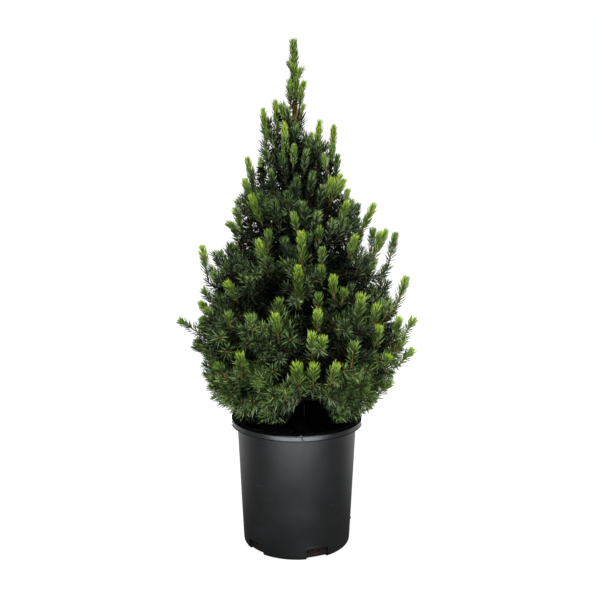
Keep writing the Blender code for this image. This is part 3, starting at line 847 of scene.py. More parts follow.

# shoots that stand out in the photograph: column and row of the tip, then of the foot.
# the first two kinds have pale tips, the first with painted shade, a darker copy of the bright colour
# for the highest shoots, which the light from above reaches most;
# soft and plain ones greener tips, and dark ones none; pale ones are short slanting twigs over the
# hollow, with needles that hang
photoShoots = {
    "mild": (
        (305, 81, 297, 99), (275, 100, 278, 134), (263, 108, 267, 150), (334, 125, 331, 168),
        (247, 157, 255, 192),
    ),
    "bright": (
        (284, 122, 286, 165), (320, 120, 315, 166), (341, 174, 329, 206), (332, 177, 325, 200),
        (345, 179, 334, 200), (348, 201, 339, 224), (244, 178, 249, 198), (250, 194, 263, 226),
        (375, 203, 359, 236), (356, 235, 348, 258), (387, 229, 371, 262), (381, 231, 374, 256),
        (407, 276, 394, 312), (202, 245, 208, 280), (258, 239, 268, 276), (301, 231, 303, 268),
        (298, 265, 299, 310), (226, 281, 239, 304), (333, 275, 334, 300), (275, 313, 279, 344),
        (318, 309, 317, 332), (362, 294, 357, 322), (377, 304, 373, 332), (399, 316, 394, 352),
        (415, 317, 400, 342), (380, 325, 374, 352), (312, 332, 312, 364), (324, 336, 321, 354),
        (414, 348, 398, 366), (389, 354, 385, 370), (296, 362, 299, 390), (314, 363, 313, 386),
        (337, 363, 330, 385), (240, 352, 242, 380),
    ),
    "soft": (
        (288, 61, 293, 74), (289, 84, 291, 108), (302, 88, 299, 110), (296, 77, 296, 98),
        (292, 65, 294, 82), (300, 68, 296, 84), (289, 79, 293, 94), (303, 104, 299, 120),
        (281, 104, 287, 126), (294, 144, 293, 168), (324, 154, 327, 174), (226, 222, 240, 232),
        (373, 227, 371, 252), (396, 232, 388, 266), (386, 264, 380, 286), (320, 226, 319, 244),
        (322, 247, 322, 266), (321, 265, 322, 286), (268, 229, 268, 254), (202, 288, 214, 305),
        (205, 308, 214, 320), (200, 317, 210, 332), (178, 319, 206, 338), (228, 311, 231, 328),
        (250, 314, 253, 334), (279, 298, 279, 318), (318, 293, 318, 312), (355, 342, 351, 368),
        (216, 363, 226, 378), (207, 386, 224, 392), (258, 381, 259, 392), (287, 389, 286, 400),
        (368, 388, 362, 400), (344, 288, 342, 304), (403, 341, 396, 354), (293, 212, 297, 234),
    ),
    "plain": (
        (191, 344, 205, 352), (210, 396, 226, 398), (375, 404, 360, 392), (378, 402, 360, 388),
        (371, 411, 355, 396), (387, 388, 369, 378), (395, 376, 376, 367), (400, 364, 382, 359),
        (222, 404, 236, 392), (207, 372, 222, 374), (392, 300, 384, 320), (408, 334, 396, 348),
        (384, 300, 376, 318), (216, 376, 230, 384), (362, 380, 350, 374), (340, 386, 332, 376),
    ),
    "dark": (
        (309, 137, 306, 152), (352, 198, 350, 218), (358, 202, 355, 222), (236, 198, 243, 212),
        (234, 210, 246, 222), (229, 241, 232, 260), (219, 249, 226, 268), (213, 250, 222, 270),
        (211, 271, 222, 284), (248, 275, 252, 292), (296, 122, 295, 146), (286, 106, 290, 124),
        (208, 266, 222, 280), (281, 152, 287, 185), (307, 148, 303, 176), (314, 170, 308, 200),
        (297, 176, 295, 204), (269, 168, 277, 198), (324, 184, 318, 212), (286, 190, 292, 222),
        (303, 200, 306, 232), (319, 210, 312, 238), (273, 198, 280, 230), (259, 192, 269, 218),
        (334, 218, 326, 244), (264, 146, 272, 176), (345, 216, 336, 240), (310, 232, 303, 258),
        (283, 236, 289, 262),
    ),
    "pale": (
        (238, 406, 247, 398), (252, 409, 259, 401), (262, 408, 271, 401), (273, 409, 279, 400),
        (282, 405, 290, 397), (293, 398, 301, 390), (314, 390, 306, 386), (322, 393, 316, 387),
        (332, 399, 325, 392), (341, 404, 333, 397), (352, 407, 343, 401), (362, 408, 354, 402),
        (246, 403, 254, 396), (288, 399, 296, 393), (286, 407, 292, 402), (291, 405, 297, 399),
    ),
}

# shoots that point at the viewer: column and row of the tip
photoStars = (
    (258, 382), (286, 392), (266, 407), (240, 366), (242, 374), (254, 402), (360, 388), (226, 352),
    (231, 392), (275, 398), (344, 372), (352, 398), (368, 372), (300, 384), (272, 372), (218, 338),
    (330, 396), (382, 362), (246, 344), (210, 356), (320, 350), (262, 330), (344, 330), (290, 340),
)

eye = Vector((0, -studio["distance"], studio["height"]))     # where the camera stands


def rayThrough(column, row):
    # the line of sight through a pixel of the photograph
    tilt = math.radians(studio["tilt"])
    ahead = Vector((0, math.cos(tilt), -math.sin(tilt)))
    up = Vector((0, math.sin(tilt), math.cos(tilt)))
    across = (column - studio["axisPixel"]) / studio["focalPixels"]
    rise = (studio["pixels"] / 2 - row) / studio["focalPixels"]
    return (ahead + Vector((1, 0, 0)) * across + up * rise).normalized()


def tipPlace(column, row):
    # where that line first comes near the foliage, or else where it passes closest to it
    way = rayThrough(column, row)
    first, step, count = candleRule["sight"]
    places = np.array([eye + way * (first + i * step) for i in range(count)])
    depth = bodyDepth(places) + candleRule["proud"]
    entering = np.flatnonzero(depth > 0)
    return Vector(places[entering[0] if len(entering) else int(depth.argmax())])


def leanAt(tip):
    outward = Vector((tip.x, tip.y, 0)).normalized()
    return outward, math.radians(np.interp(tip.z, *zip(*candleRule["lean"])))


def photoTips():
    # tips on their lines of sight, with feet that lie further back by the lean at that height
    for look, rows in photoShoots.items():
        for tipColumn, tipRow, footColumn, footRow in rows:
            seen = math.hypot(tipColumn - footColumn, tipRow - footRow)
            share = 0 if look == "pale" else candleRule["blunt"] / seen
            tip = tipPlace(tipColumn + (footColumn - tipColumn) * share,
                           tipRow + (footRow - tipRow) * share)
            outward, lean = leanAt(tip)
            length = seen / studio["focalPixels"] * (tip - eye).length
            back = -outward.y * math.tan(lean) * candleRule["facing"] * length
            way = rayThrough(footColumn, footRow)
            yield tip, eye + way * ((tip.y + back - eye.y) / way.y), look
    for column, row in photoStars:
        tip = tipPlace(column, row)
        way = (eye - tip).normalized() + Vector((tip.x, tip.y, 0)) * candleRule["starSpread"]
        yield tip, tip - way.normalized() * candleRule["starLength"], "star"


def rearTips():
    # evenly spread tips for the sides and back, which the photograph doesn't show
    rng = random.Random("rear tips")
    rule = candleRule
    low, high = rule["rearHeights"]
    for k in range(rule["rearCount"]):
        share = (k + 0.5) / rule["rearCount"]
        z = high - (high - low) * share ** rule["rearHigher"]
        swing = rng.uniform(-rule["rearTurnSwing"], rule["rearTurnSwing"])
        bearing = (k * twigRule["goldenTurn"] + swing) % 360
        if rule["rearFrom"] < bearing < 360 - rule["rearFrom"]:
            up = Vector((0, 0, z))
            start = bearingVector(bearing) * rule["rearOut"] + up
            depth = float(bodyDepth(np.array([start]))[0])
            reach = rule["rearOut"] + depth + rng.uniform(*rule["rearProud"]) * rule["proud"]
            tip = bearingVector(bearing) * reach + up
            outward, lean = leanAt(tip)
            way = Vector((0, 0, 1)) * math.cos(lean) + outward * math.sin(lean)
            way += Vector([rng.uniform(-1, 1) * rule["swing"] for _ in range(3)])
            length = np.interp(z, *zip(*rule["length"])) * rng.uniform(*rule["rearLength"])
            yield tip, tip - way.normalized() * length, ("soft", "bright", "dark")[k % 3]


def growCandle(limb, root, foot, tip, look):
    # an older twig from the one that carries it to the foot, and the new shoot on its end
    rise = (tip - foot).normalized()
    bend = foot - rise * (foot - root).length * candleRule["bend"]
    stations = shootRule["stations"]
    older = [root * (1 - s) ** 2 + bend * (2 * s * (1 - s)) + foot * s * s for s in stations]
    newer = [foot.lerp(tip, s) for s in stations]
    return [{"limb": limb, "path": older, "kind": "carrier", "flush": "none"},
            {"limb": limb, "path": newer, "kind": "candle", "flush": look}]


def growCandles(made):
    places, owners = placesOn(made, candleRule["shares"])
    places = np.array(places)
    grown = []
    for tip, foot, look in [*photoTips(), *rearTips()]:
        # the nearest place, but rather one that lies below the foot than one beside it
        reach = np.array(foot) - places
        gaps = np.linalg.norm(reach, axis=1)
        along = reach @ np.array((tip - foot).normalized())
        near = int((gaps + candleRule["aligned"] * (gaps - along)).argmin())
        grown += growCandle(owners[near], Vector(places[near]), foot, tip, look)
    return grown


def growAll():
    made = [shoot for limb in limbs + [trunkLimb] for shoot in growShoots(limb)]
    grown = len(made)
    fillGaps(made)
    print("shoots in gaps:", len(made) - grown)
    for shoot in made:
        leader = shoot["limb"]["tier"] == "leader" and shoot["kind"] == "stem"
        shoot["flush"] = "leader" if leader else "none"
    made += growCandles(made)
    for shoot in made:
        end = np.array([shoot["path"][-1]])
        out = math.hypot(*end[0, :2])
        depth = float(bodyDepth(end)[0])
        share = np.interp(end[0, 2], *zip(*body["outerShare"]))
        near = depth < body["innerDepth"] or out > share * (out + depth)
        carrying = shoot["kind"] == "carrier" or shoot["limb"]["tier"] == "leader"
        shoot["outer"] = carrying or near and shoot["kind"] != "fill"
    return made


shoots = growAll()
for kind in ("stem", "twig", "fine", "fill", "candle"):
    print(kind, "shoots:", sum(shoot["kind"] == kind for shoot in shoots))

# Needles: spirals round each shoot, closing towards its tip

needleRule = {
    "turnSwing": 16,         # degrees
    "angleSwing": 8,
    "lengthSwing": 0.14,
    # how far needles bend towards their shoot's tip, older ones and new ones
    "curl": 0.10,
    "newCurl": 0.30,
    # rings of corners between root and point: share of the length, share of the thickness
    "rings": ((0.45, 1.0),),
    "newRings": ((0.16, 0.78), (0.70, 0.86)),
    "room": -0.020,          # how far a needle may reach past the middle to the next limb
    "candleRoom": -0.2,      # candles may stand in the next limb's space
    "proud": 0.004,          # how far needles may stand out of the crown's outline, those of
    "candleProud": 0.010,    # candles, and those beside the leader
    "leaderProud": 0.0,
    "shrinks": (1.0, 0.72),  # a needle that would leave its space is that much shorter, or left out
    # length of a candle's dense tip at each height, below which its stem shows
    "tuft": ((0.17, 0.014), (0.30, 0.018), (0.42, 0.024), (0.48, 0.028), (0.54, 0.032)),
    "commonLength": 0.038,   # of a candle with a tuft of just that length
    "tuftRange": (0.75, 1.4),        # shares of it on shorter and longer shoots
    "freshSwing": (0.85, 1.2),
    "freshMost": 0.95,       # share of a shoot that its new growth takes at most
    "brightShare": 0.46,     # of the tuft, from its tip, that has its first colour
    "secondReach": 1.6,      # tufts from the tip to where its second colour ends
    "flushSwing": (0.75, 1.35),      # how much these two reaches vary
    # how long needles are at each height, as a share of their habit's length
    "longer": ((0.17, 1.28), (0.26, 1.2), (0.36, 1.06), (0.48, 0.96), (0.63, 0.97)),
    "firstLength": 0.65,     # share of that which a shoot's lowest needle has
    "firstRise": 0.012,      # the distance over which the share grows by 1
    # stretches without needles at the foot of the leader, of larger twigs, and of side shoots
    "leaderBare": 0.006,
    "twigBare": 0.010,
    "twigBareShare": 0.15,
    "sideBare": 0.003,
    "blunt": 0.0062,         # how far needles reach past the shoot's own tip
    "bluntSwing": (0.85, 1.1),
    # a needle's shade: what differs from needle to needle, then from shoot to shoot
    "ownShade": 0.8,
    "shootShade": 0.4,
    "shadeFrom": -0.1,
    # needles nearer to the trunk's foot than this, below this height, are shed
    "shedReach": 0.045,
    "shedBelow": 0.180,
    "specular": 0.16,
    # painted shade: the near-black inner needles get a lower specular, so that they stay dark
    "shadedInnerSpecular": 0.05,
    "mostTriangles": 190000,     # in one piece
}

needleHabits = {
    "old": {
        "length": 0.0122, "spacing": 0.00080, "rootAngle": 60, "tipAngle": 30,
        "closing": 0.009, "upSweep": 0.12, "radius": 0.00066,
    },
    "new": {
        "length": 0.0100, "spacing": 0.00029, "rootAngle": 58, "tipAngle": 30,
        "closing": 0.006, "upSweep": 0.03, "radius": 0.00070,
    },
    "shoulder": {
        "length": 0.0112, "spacing": 0.00058, "rootAngle": 64, "tipAngle": 40,
        "closing": 0.014, "upSweep": 0.10, "radius": 0.00062,
    },
    "leader": {
        "length": 0.0102, "spacing": 0.00024, "rootAngle": 56, "tipAngle": 40,
        "closing": 0.006, "upSweep": 0.0, "radius": 0.00080,
    },
    "star": {
        "length": 0.0118, "spacing": 0.00062, "rootAngle": 78, "tipAngle": 62,
        "closing": 0.005, "upSweep": 0.0, "radius": 0.00060,
    },
    "hanging": {
        "length": 0.0128, "spacing": 0.00270, "rootAngle": 60, "tipAngle": 60,
        "closing": 0.001, "upSweep": -2.6, "radius": 0.00085,
    },
    "inner": {
        "length": 0.0135, "spacing": 0.00100, "rootAngle": 64, "tipAngle": 34,
        "closing": 0.010, "upSweep": 0.10, "radius": 0.00115,
    },
}


def normalised(rows):
    return rows / np.maximum(np.linalg.norm(rows, axis=1, keepdims=True), 1e-9)


def acrossOf(ways):
    # two unit vectors square to each way, right-handed with it
    up = np.tile([0.0, 0.0, 1.0], (len(ways), 1))
    up[np.abs(ways[:, 2]) > 0.95] = (1.0, 0.0, 0.0)
    first = normalised(np.cross(ways, up))
    return first, np.cross(ways, first)


def spiralNeedles(shoot, habit, first, last, shade, rng):
    # one stretch of a shoot, from first to last in metres along it; a row is a needle's root,
    # heading, shoot's heading, length, distance to the tip, thickness and shade
    path = np.array(shoot["path"])
    steps = np.linalg.norm(np.diff(path, axis=0), axis=1)
    reach = np.concatenate([[0.0], np.cumsum(steps)])
    length = reach[-1]
    count = int((last - first) / habit["spacing"])
    if count < 1:
        return np.zeros((0, 13))
    spots = first + (np.arange(count) + 0.5) * habit["spacing"]
    roots = np.stack([np.interp(spots, reach, path[:, i]) for i in range(3)], axis=1)
    step = np.clip(np.searchsorted(reach, spots) - 1, 0, len(steps) - 1)
    ways = normalised(np.diff(path, axis=0)[step])
    left = length - spots
    spread = 1 - np.exp(-left / habit["closing"])
    lean = habit["tipAngle"] + (habit["rootAngle"] - habit["tipAngle"]) * spread
    lean = lean * np.interp(roots[:, 2], *zip(*body["spread"]))
    lean = np.radians(lean + rng.uniform(-1, 1, count) * needleRule["angleSwing"])
    turn = np.arange(count) * twigRule["goldenTurn"] + rng.uniform(0, 360)
    turn = np.radians(turn + rng.uniform(-1, 1, count) * needleRule["turnSwing"])
    sideA, sideB = acrossOf(ways)
    sides = sideA * np.cos(turn)[:, None] + sideB * np.sin(turn)[:, None]
    pointing = ways * np.cos(lean)[:, None] + sides * np.sin(lean)[:, None]
    pointing[:, 2] += habit["upSweep"] * spread
    pointing = normalised(pointing)
    size = habit["length"] * (1 + rng.uniform(-1, 1, count) * needleRule["lengthSwing"])
    size *= np.interp(roots[:, 2], *zip(*needleRule["longer"]))
    size *= np.minimum(1.0, needleRule["firstLength"] + (spots - first) / needleRule["firstRise"])
    blunt = needleRule["blunt"] * rng.uniform(*needleRule["bluntSwing"], count)
    size = np.minimum(size, (left + blunt) / np.maximum(np.cos(lean), 0.2))
    thick = np.full(count, habit["radius"])
    shades = rng.uniform(0, 1, count) * needleRule["ownShade"]
    shades = np.clip(shades + shade * needleRule["shootShade"] + needleRule["shadeFrom"], 0, 1)
    rows = np.concatenate([roots, pointing, ways,
                           np.stack([size, left, thick, shades], axis=1)], axis=1)
    keep = np.zeros(count, bool)
    candle = shoot["kind"] in ("candle", "carrier")
    room = needleRule["candleRoom" if candle else "room"]
    proud = needleRule["candleProud" if candle else "proud"]
    if shoot["limb"]["tier"] == "leader" and shoot["flush"] == "none":
        proud = needleRule["leaderProud"]
    for shrink in needleRule["shrinks"]:
        ends = roots + pointing * (size * shrink)[:, None]
        held = placesHeld(shoot["limb"], ends, room, proud)
        if shoot["flush"] != "pale":
            held &= ~cleared(ends)
        rows[held & ~keep, 9] *= shrink
        keep |= held
    return rows[keep]


def tuftLength(shoot):
    # longer on a longer shoot
    tuft = np.interp(shoot["path"][-1].z, *zip(*needleRule["tuft"]))
    share = pathLength(shoot["path"]) / needleRule["commonLength"]
    least, most = needleRule["tuftRange"]
    return tuft * min(max(share, least), most)


def shootNeedles(shoot, rng):
    # the needles of a shoot's older stretch and of its new growth
    rule = needleRule
    length = pathLength(shoot["path"])
    fresh = 0.0
    if shoot["flush"] == "leader":
        fresh = length - rule["leaderBare"]
    elif shoot["flush"] != "none":
        fresh = min(tuftLength(shoot) * rng.uniform(*rule["freshSwing"]),
                    length * rule["freshMost"])
    shade = rng.uniform()
    start = rule["sideBare"]
    if shoot["kind"] in ("stem", "twig"):
        start = min(rule["twigBare"], length * rule["twigBareShare"])
    if shoot["flush"] == "leader":
        start = rule["leaderBare"]
    if shoot["kind"] == "candle":
        older = needleHabits["shoulder"]
    else:
        older = needleHabits["old" if shoot["outer"] else "inner"]
    habit = {"pale": "hanging", "leader": "leader", "star": "star"}.get(shoot["flush"], "new")
    if habit == "hanging":
        fresh = length
    old = spiralNeedles(shoot, older, start, length - fresh, shade, rng)
    newest = max(start, length - fresh)
    return old, spiralNeedles(shoot, needleHabits[habit], newest, length, shade, rng)


def needleArrays(rows, rng, rings, curl):
    # corners and triangles of closed three-sided needles, curving towards the shoot's tip
    roots, pointing, ways = rows[:, 0:3], rows[:, 3:6], rows[:, 6:9]
    size, thick = rows[:, 9:10], rows[:, 11:12]
    along = np.sum(ways * pointing, axis=1, keepdims=True)
    bend = normalised(ways - pointing * along)
    sideA, sideB = acrossOf(pointing)
    roll = rng.uniform(0, 2 * math.pi, (len(rows), 1))
    corners = [roots[:, None, :]]
    shares = [0.0]
    for share, width in rings:
        centre = roots + pointing * size * share + bend * size * curl * share**2
        ring = []
        for k in range(3):
            angle = roll + 2 * math.pi * k / 3
            around = sideA * np.cos(angle) + sideB * np.sin(angle)
            ring.append(centre + around * thick * width)
            shares.append(share)
        corners.append(np.stack(ring, axis=1))
    corners.append((roots + pointing * size + bend * size * curl)[:, None, :])
    shares.append(1.0)
    corners = np.concatenate(corners, axis=1)
    last = corners.shape[1] - 1
    faces = []
    for k in range(3):
        n = (k + 1) % 3
        faces.append((0, 1 + n, 1 + k))
        for a in range(1, last - 3, 3):
            faces += [(a + k, a + n, a + 3 + n), (a + k, a + 3 + n, a + 3 + k)]
        faces.append((last, last - 3 + k, last - 3 + n))
    return corners, np.array(faces), np.array(shares)


def joinedMesh(name, corners, faces, attributes):
    # one mesh of many like bits: corners is bits x corners x 3, faces are one bit's triangles
    bits, each = corners.shape[:2]
    mesh = bpy.data.meshes.new(name)
    mesh.vertices.add(bits * each)
    mesh.vertices.foreach_set("co", corners.reshape(-1).astype(np.float32))
    index = (faces[None, :, :] + (np.arange(bits) * each)[:, None, None]).reshape(-1)
    mesh.loops.add(len(index))
    mesh.loops.foreach_set("vertex_index", index.astype(np.int32))
    mesh.polygons.add(len(index) // 3)
    mesh.polygons.foreach_set("loop_start", np.arange(0, len(index), 3, dtype=np.int32))
    mesh.update(calc_edges=True)
    for label, values in attributes.items():
        layer = mesh.attributes.new(label, "FLOAT", "POINT")
        layer.data.foreach_set("value", values.reshape(-1).astype(np.float32))
    obj = bpy.data.objects.new(name, mesh)
    bpy.context.collection.objects.link(obj)
    return obj


# base colour, colour at the root with painted shade, and colour of the few paler needles, partly real
# bloom and partly painted highlight
needleColours = {
    "bright": ((0.310, 0.470, 0.040), (0.063, 0.119, 0.014), (0.500, 0.670, 0.150)),
    # painted shade: the bright colour darkened, for the highest tips, which the light from above
    # reaches most
    "mild": ((0.230, 0.350, 0.020), (0.048, 0.090, 0.009), (0.410, 0.550, 0.080)),
    "fresh": ((0.130, 0.235, 0.030), (0.026, 0.052, 0.008), (0.360, 0.500, 0.140)),
    "lush": ((0.096, 0.182, 0.034), (0.013, 0.025, 0.007), (0.400, 0.550, 0.190)),
    "green": ((0.053, 0.105, 0.022), (0.009, 0.018, 0.005), (0.310, 0.440, 0.150)),
    "dark": ((0.018, 0.038, 0.013), (0.003, 0.007, 0.003), (0.190, 0.270, 0.130)),
    "pale": ((0.155, 0.205, 0.110), (0.034, 0.054, 0.024), (0.400, 0.460, 0.310)),
    # painted shade: near-black needles inside the crown stand in for the shade there
    "shadedInner": ((0.0040, 0.0075, 0.0038), (0.002, 0.004, 0.002), (0.022, 0.036, 0.018)),
}

# how the outer sprays are dealt out up to each height: lush, green, dark and pale
sprayShares = {
    "skirt": (0.205, (0.78, 0.18, 0.0, 0.04)),
    "low": (0.260, (0.30, 0.46, 0.24, 0.0)),
    "high": (1.0, (0.0, 0.42, 0.58, 0.0)),
}

# the needles at the tip of a new shoot, and those below them
flushKinds = {
    "bright": ("bright", "fresh"),
    "mild": ("mild", "fresh"),
    "soft": ("fresh", "green"),
    "plain": ("lush", "green"),
    "dark": ("green", "dark"),
    "pale": ("pale", "pale"),
    "leader": ("fresh", "fresh"),
    "star": ("green", "green"),
    "none": ("green", "green"),
}


def sprayKind(shoot, rng):
    # needles of inner shoots take the near-black painted shade
    if not shoot["outer"]:
        return "shadedInner"
    if shoot["flush"] == "star" or shoot["limb"]["tier"] == "leader":
        return "green"
    height = shoot["path"][-1].z
    for top, shares in sprayShares.values():
        if height < top:
            return str(rng.choice(["lush", "green", "dark", "pale"], p=shares))


def shed(rows):
    # needles near the trunk's foot, where a shaded plant keeps none
    near = np.hypot(rows[:, 0], rows[:, 1]) < needleRule["shedReach"]
    return near & (rows[:, 2] < needleRule["shedBelow"])


def sortNeedles():
    # deals the needles out by spray: bright tips, new growth, green and dark sprays, and inner ones in
    # near-black painted shade
    rng = np.random.default_rng(27)
    dealt = {kind: [] for kind in needleColours}
    for shoot in shoots:
        old, new = shootNeedles(shoot, rng)
        swing = rng.uniform(*needleRule["flushSwing"])
        tuft = tuftLength(shoot)
        tip = new[:, 10] < tuft * needleRule["brightShare"] * swing
        first, second = flushKinds[shoot["flush"]]
        below = old[:, 10] < tuft * needleRule["secondReach"] * swing
        below &= shoot["kind"] == "candle"
        dealt[first].append(new[tip])
        dealt[second] += [new[~tip], old[below]]
        dealt[sprayKind(shoot, rng)].append(old[~below])
    joined = {kind: np.concatenate(rows) for kind, rows in dealt.items()}
    return {kind: rows[~shed(rows)] for kind, rows in joined.items()}


foliageNodes = sorted(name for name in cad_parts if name.startswith("foliage"))


def finishPiece(obj, surface, nodes):
    obj.data.materials.clear()
    obj.data.materials.append(surface)
    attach(obj, "root")
    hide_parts(*nodes)
    obj.select_set(False)


def makeNeedles():
    rng = np.random.default_rng(5)
    total = 0
    for kind, rows in sortNeedles().items():
        new = kind in ("bright", "mild", "fresh")
        rings = needleRule["newRings" if new else "rings"]
        curl = needleRule["newCurl" if new else "curl"]
        specular = needleRule["shadedInnerSpecular" if kind == "shadedInner" else "specular"]
        surface = needleMaterial("needles_" + kind, *needleColours[kind], specular)
        pieces = math.ceil(len(rows) * len(rings) * 6 / needleRule["mostTriangles"])
        rows = rows[np.argsort(rows[:, 2], kind="stable")]     # bands from the skirt up
        for i, part in enumerate(np.array_split(rows, pieces)):
            corners, faces, shares = needleArrays(part, rng, rings, curl)
            tint = np.repeat(part[:, 12], len(shares))
            along = np.tile(shares, len(part))
            name = f"needles_{kind}_{i + 1}"
            obj = joinedMesh(name, corners, faces, {"along": along, "tint": tint})
            finishPiece(obj, surface, foliageNodes)
            total += len(part) * len(faces)
        print(kind, "needles:", len(rows), "in", pieces, "pieces")
    print("needle triangles:", total)


makeNeedles()

# Twigs

twigLooks = {
    "sides": 5,
    "grain": (160, 0.0003, 0.7),             # scale, depth of the bump, roughness
    "footFrom": 0.526,       # the leader's bare foot: its lowest height, and how far it
    "footAbove": 0.004,      # reaches above the trunk's top
    "stem": ("brown", 0.0015, 0.0008),       # colour, then radius at its foot and at its tip
    "twig": ("brown", 0.0010, 0.0006),
    "carrier": ("brown", 0.0010, 0.0009),
    "fine": ("brown", 0.0007, 0.0004),
    "fill": ("brown", 0.0007, 0.0004),
    "candle": ("tan", 0.0012, 0.0007),
    "dark": ("brown", 0.0011, 0.0006),
    "leader": ("orange", 0.0033, 0.0008),
    "leaderFoot": ("orange", 0.0034, 0.0035),
    "star": ("tan", 0.0010, 0.0006),
    "pale": ("brown", 0.0007, 0.0005),
    "tan": ((0.36, 0.21, 0.065), (0.18, 0.09, 0.030)),
    "orange": ((0.54, 0.34, 0.105), (0.32, 0.18, 0.055)),
    "brown": ((0.060, 0.042, 0.020), (0.024, 0.017, 0.009)),
}


def tubeArrays(paths, radii):
    # closed tubes round paths of equal count, as corners and one tube's triangles
    paths = np.array(paths)
    count, rings = paths.shape[:2]
    sides = twigLooks["sides"]
    ways = np.gradient(paths, axis=1)
    flat = normalised(ways.reshape(-1, 3))
    sideA, sideB = acrossOf(flat)
    sideA = np.repeat(sideA.reshape(count, rings, 3)[:, :1], rings, axis=1).reshape(-1, 3)
    sideA = normalised(sideA - flat * np.sum(sideA * flat, axis=1, keepdims=True))
    sideB = np.cross(flat, sideA)
    angles = np.arange(sides) * 2 * math.pi / sides
    ring = sideA[:, None, :] * np.cos(angles)[None, :, None]
    ring = ring + sideB[:, None, :] * np.sin(angles)[None, :, None]
    ring = ring.reshape(count, rings, sides, 3) * np.asarray(radii)[:, :, None, None]
    skin = (paths[:, :, None, :] + ring).reshape(count, rings * sides, 3)
    corners = np.concatenate([paths[:, :1], skin, paths[:, -1:]], axis=1)
    faces = []
    last = rings * sides + 1
    for k in range(sides):
        n = (k + 1) % sides
        faces.append((0, 1 + n, 1 + k))
        for r in range(rings - 1):
            a, b = 1 + r * sides, 1 + (r + 1) * sides
            faces += [(a + k, a + n, b + n), (a + k, b + n, b + k)]
        faces.append((last, last - sides + k, last - sides + n))
    return corners, np.array(faces)


def makeTwigs():
    surfaces = {}
    for colour in ("tan", "orange", "brown"):
        light, dark = twigLooks[colour]
        surfaces[colour] = woodMaterial("twig_" + colour, light, dark, *twigLooks["grain"])
    ownLooks = ("leader", "star", "pale", "dark")
    groups = {}
    for shoot in shoots:
        kind = shoot["flush"] if shoot["flush"] in ownLooks else shoot["kind"]
        groups.setdefault((kind, len(shoot["path"])), []).append(shoot["path"])
    high = trunk["top"] + twigLooks["footAbove"]
    foot = [trunkPoint(z) for z in np.linspace(twigLooks["footFrom"], high, 6)]
    groups[("leaderFoot", 6)] = [foot]
    for (kind, count), paths in groups.items():
        colour, thick, thin = twigLooks[kind]
        radii = np.tile(np.linspace(thick, thin, count), (len(paths), 1))
        corners, faces = tubeArrays(paths, radii)
        obj = joinedMesh("twigs_" + kind, corners, faces, {})
        obj.data.shade_smooth()
        finishPiece(obj, surfaces[colour], foliageNodes)
        print("twigs", kind, len(paths), "triangles", len(paths) * len(faces))


makeTwigs()

# Trunk and boughs: tubes joined by a remesh, with the bark's relief cut in

barkLooks = {
    "voxel": 0.0008,
    "relief": 0.00045,
    "grainScale": (260, 260, 90),
    "plateScale": (120, 120, 60),
    "grainShare": 0.5,           # of the relief, and that of the plates
    "plateShare": 1.6,
    "plateTop": 0.18,            # plates are flat above this
    "below": 0.004,              # how far the trunk reaches into the mix
    "boughThick": (0.0029, 0.0016),      # radius at the trunk, of a low one and of a high one
    "boughEnd": 0.0015,
    "collar": 0.45,              # how much thicker a bough is where it leaves the trunk
    "collarShare": 0.22,         # of its length that the collar takes up
    "light": (0.13, 0.088, 0.056),
    "dark": (0.030, 0.020, 0.013),
    "toneScale": 210,
    "bump": 0.0006,
    "roughness": 0.88,
    "specular": 0.2,
    "footShade": (0.175, 0.215),      # heights between which the foot's painted shade ends: near-black bark low down stands in for the shadow under the crown
    "footShadeColour": (0.006, 0.005, 0.004),
}


def addTube(name, points, radii):
    bpy.ops.curve.primitive_bezier_curve_add()
    obj = bpy.context.object
    obj.name = name
    curve = obj.data
    curve.splines.clear()
    curve.bevel_depth = 1.0
    curve.bevel_resolution = 3
    curve.use_fill_caps = True
    spline = curve.splines.new("POLY")
    spline.points.add(len(points) - 1)
    for target, place, radius in zip(spline.points, points, radii):
        target.co = (*place, 1.0)
        target.radius = radius
    return obj


def barkMaterial():
    surface, tree, shader = newMaterial("bark", barkLooks["roughness"], barkLooks["specular"])
    light, dark = barkLooks["light"], barkLooks["dark"]
    grain = mottled(tree, light, dark, barkLooks["toneScale"], woodLooks["contrast"])
    height = partOf(tree, ownPlace(tree), "Z")
    # painted shade: the trunk's foot turns near-black below these heights, standing in for the shadow
    # under the crown
    unshadedShare = rangeNode(tree, height, barkLooks["footShade"])
    tone = mixNode(tree, unshadedShare, (*barkLooks["footShadeColour"], 1), grain["Colour"])
    feed(tree, tone, shader.inputs["Base Color"])
    addBump(tree, shader, grain["Height"], barkLooks["bump"])
    return surface


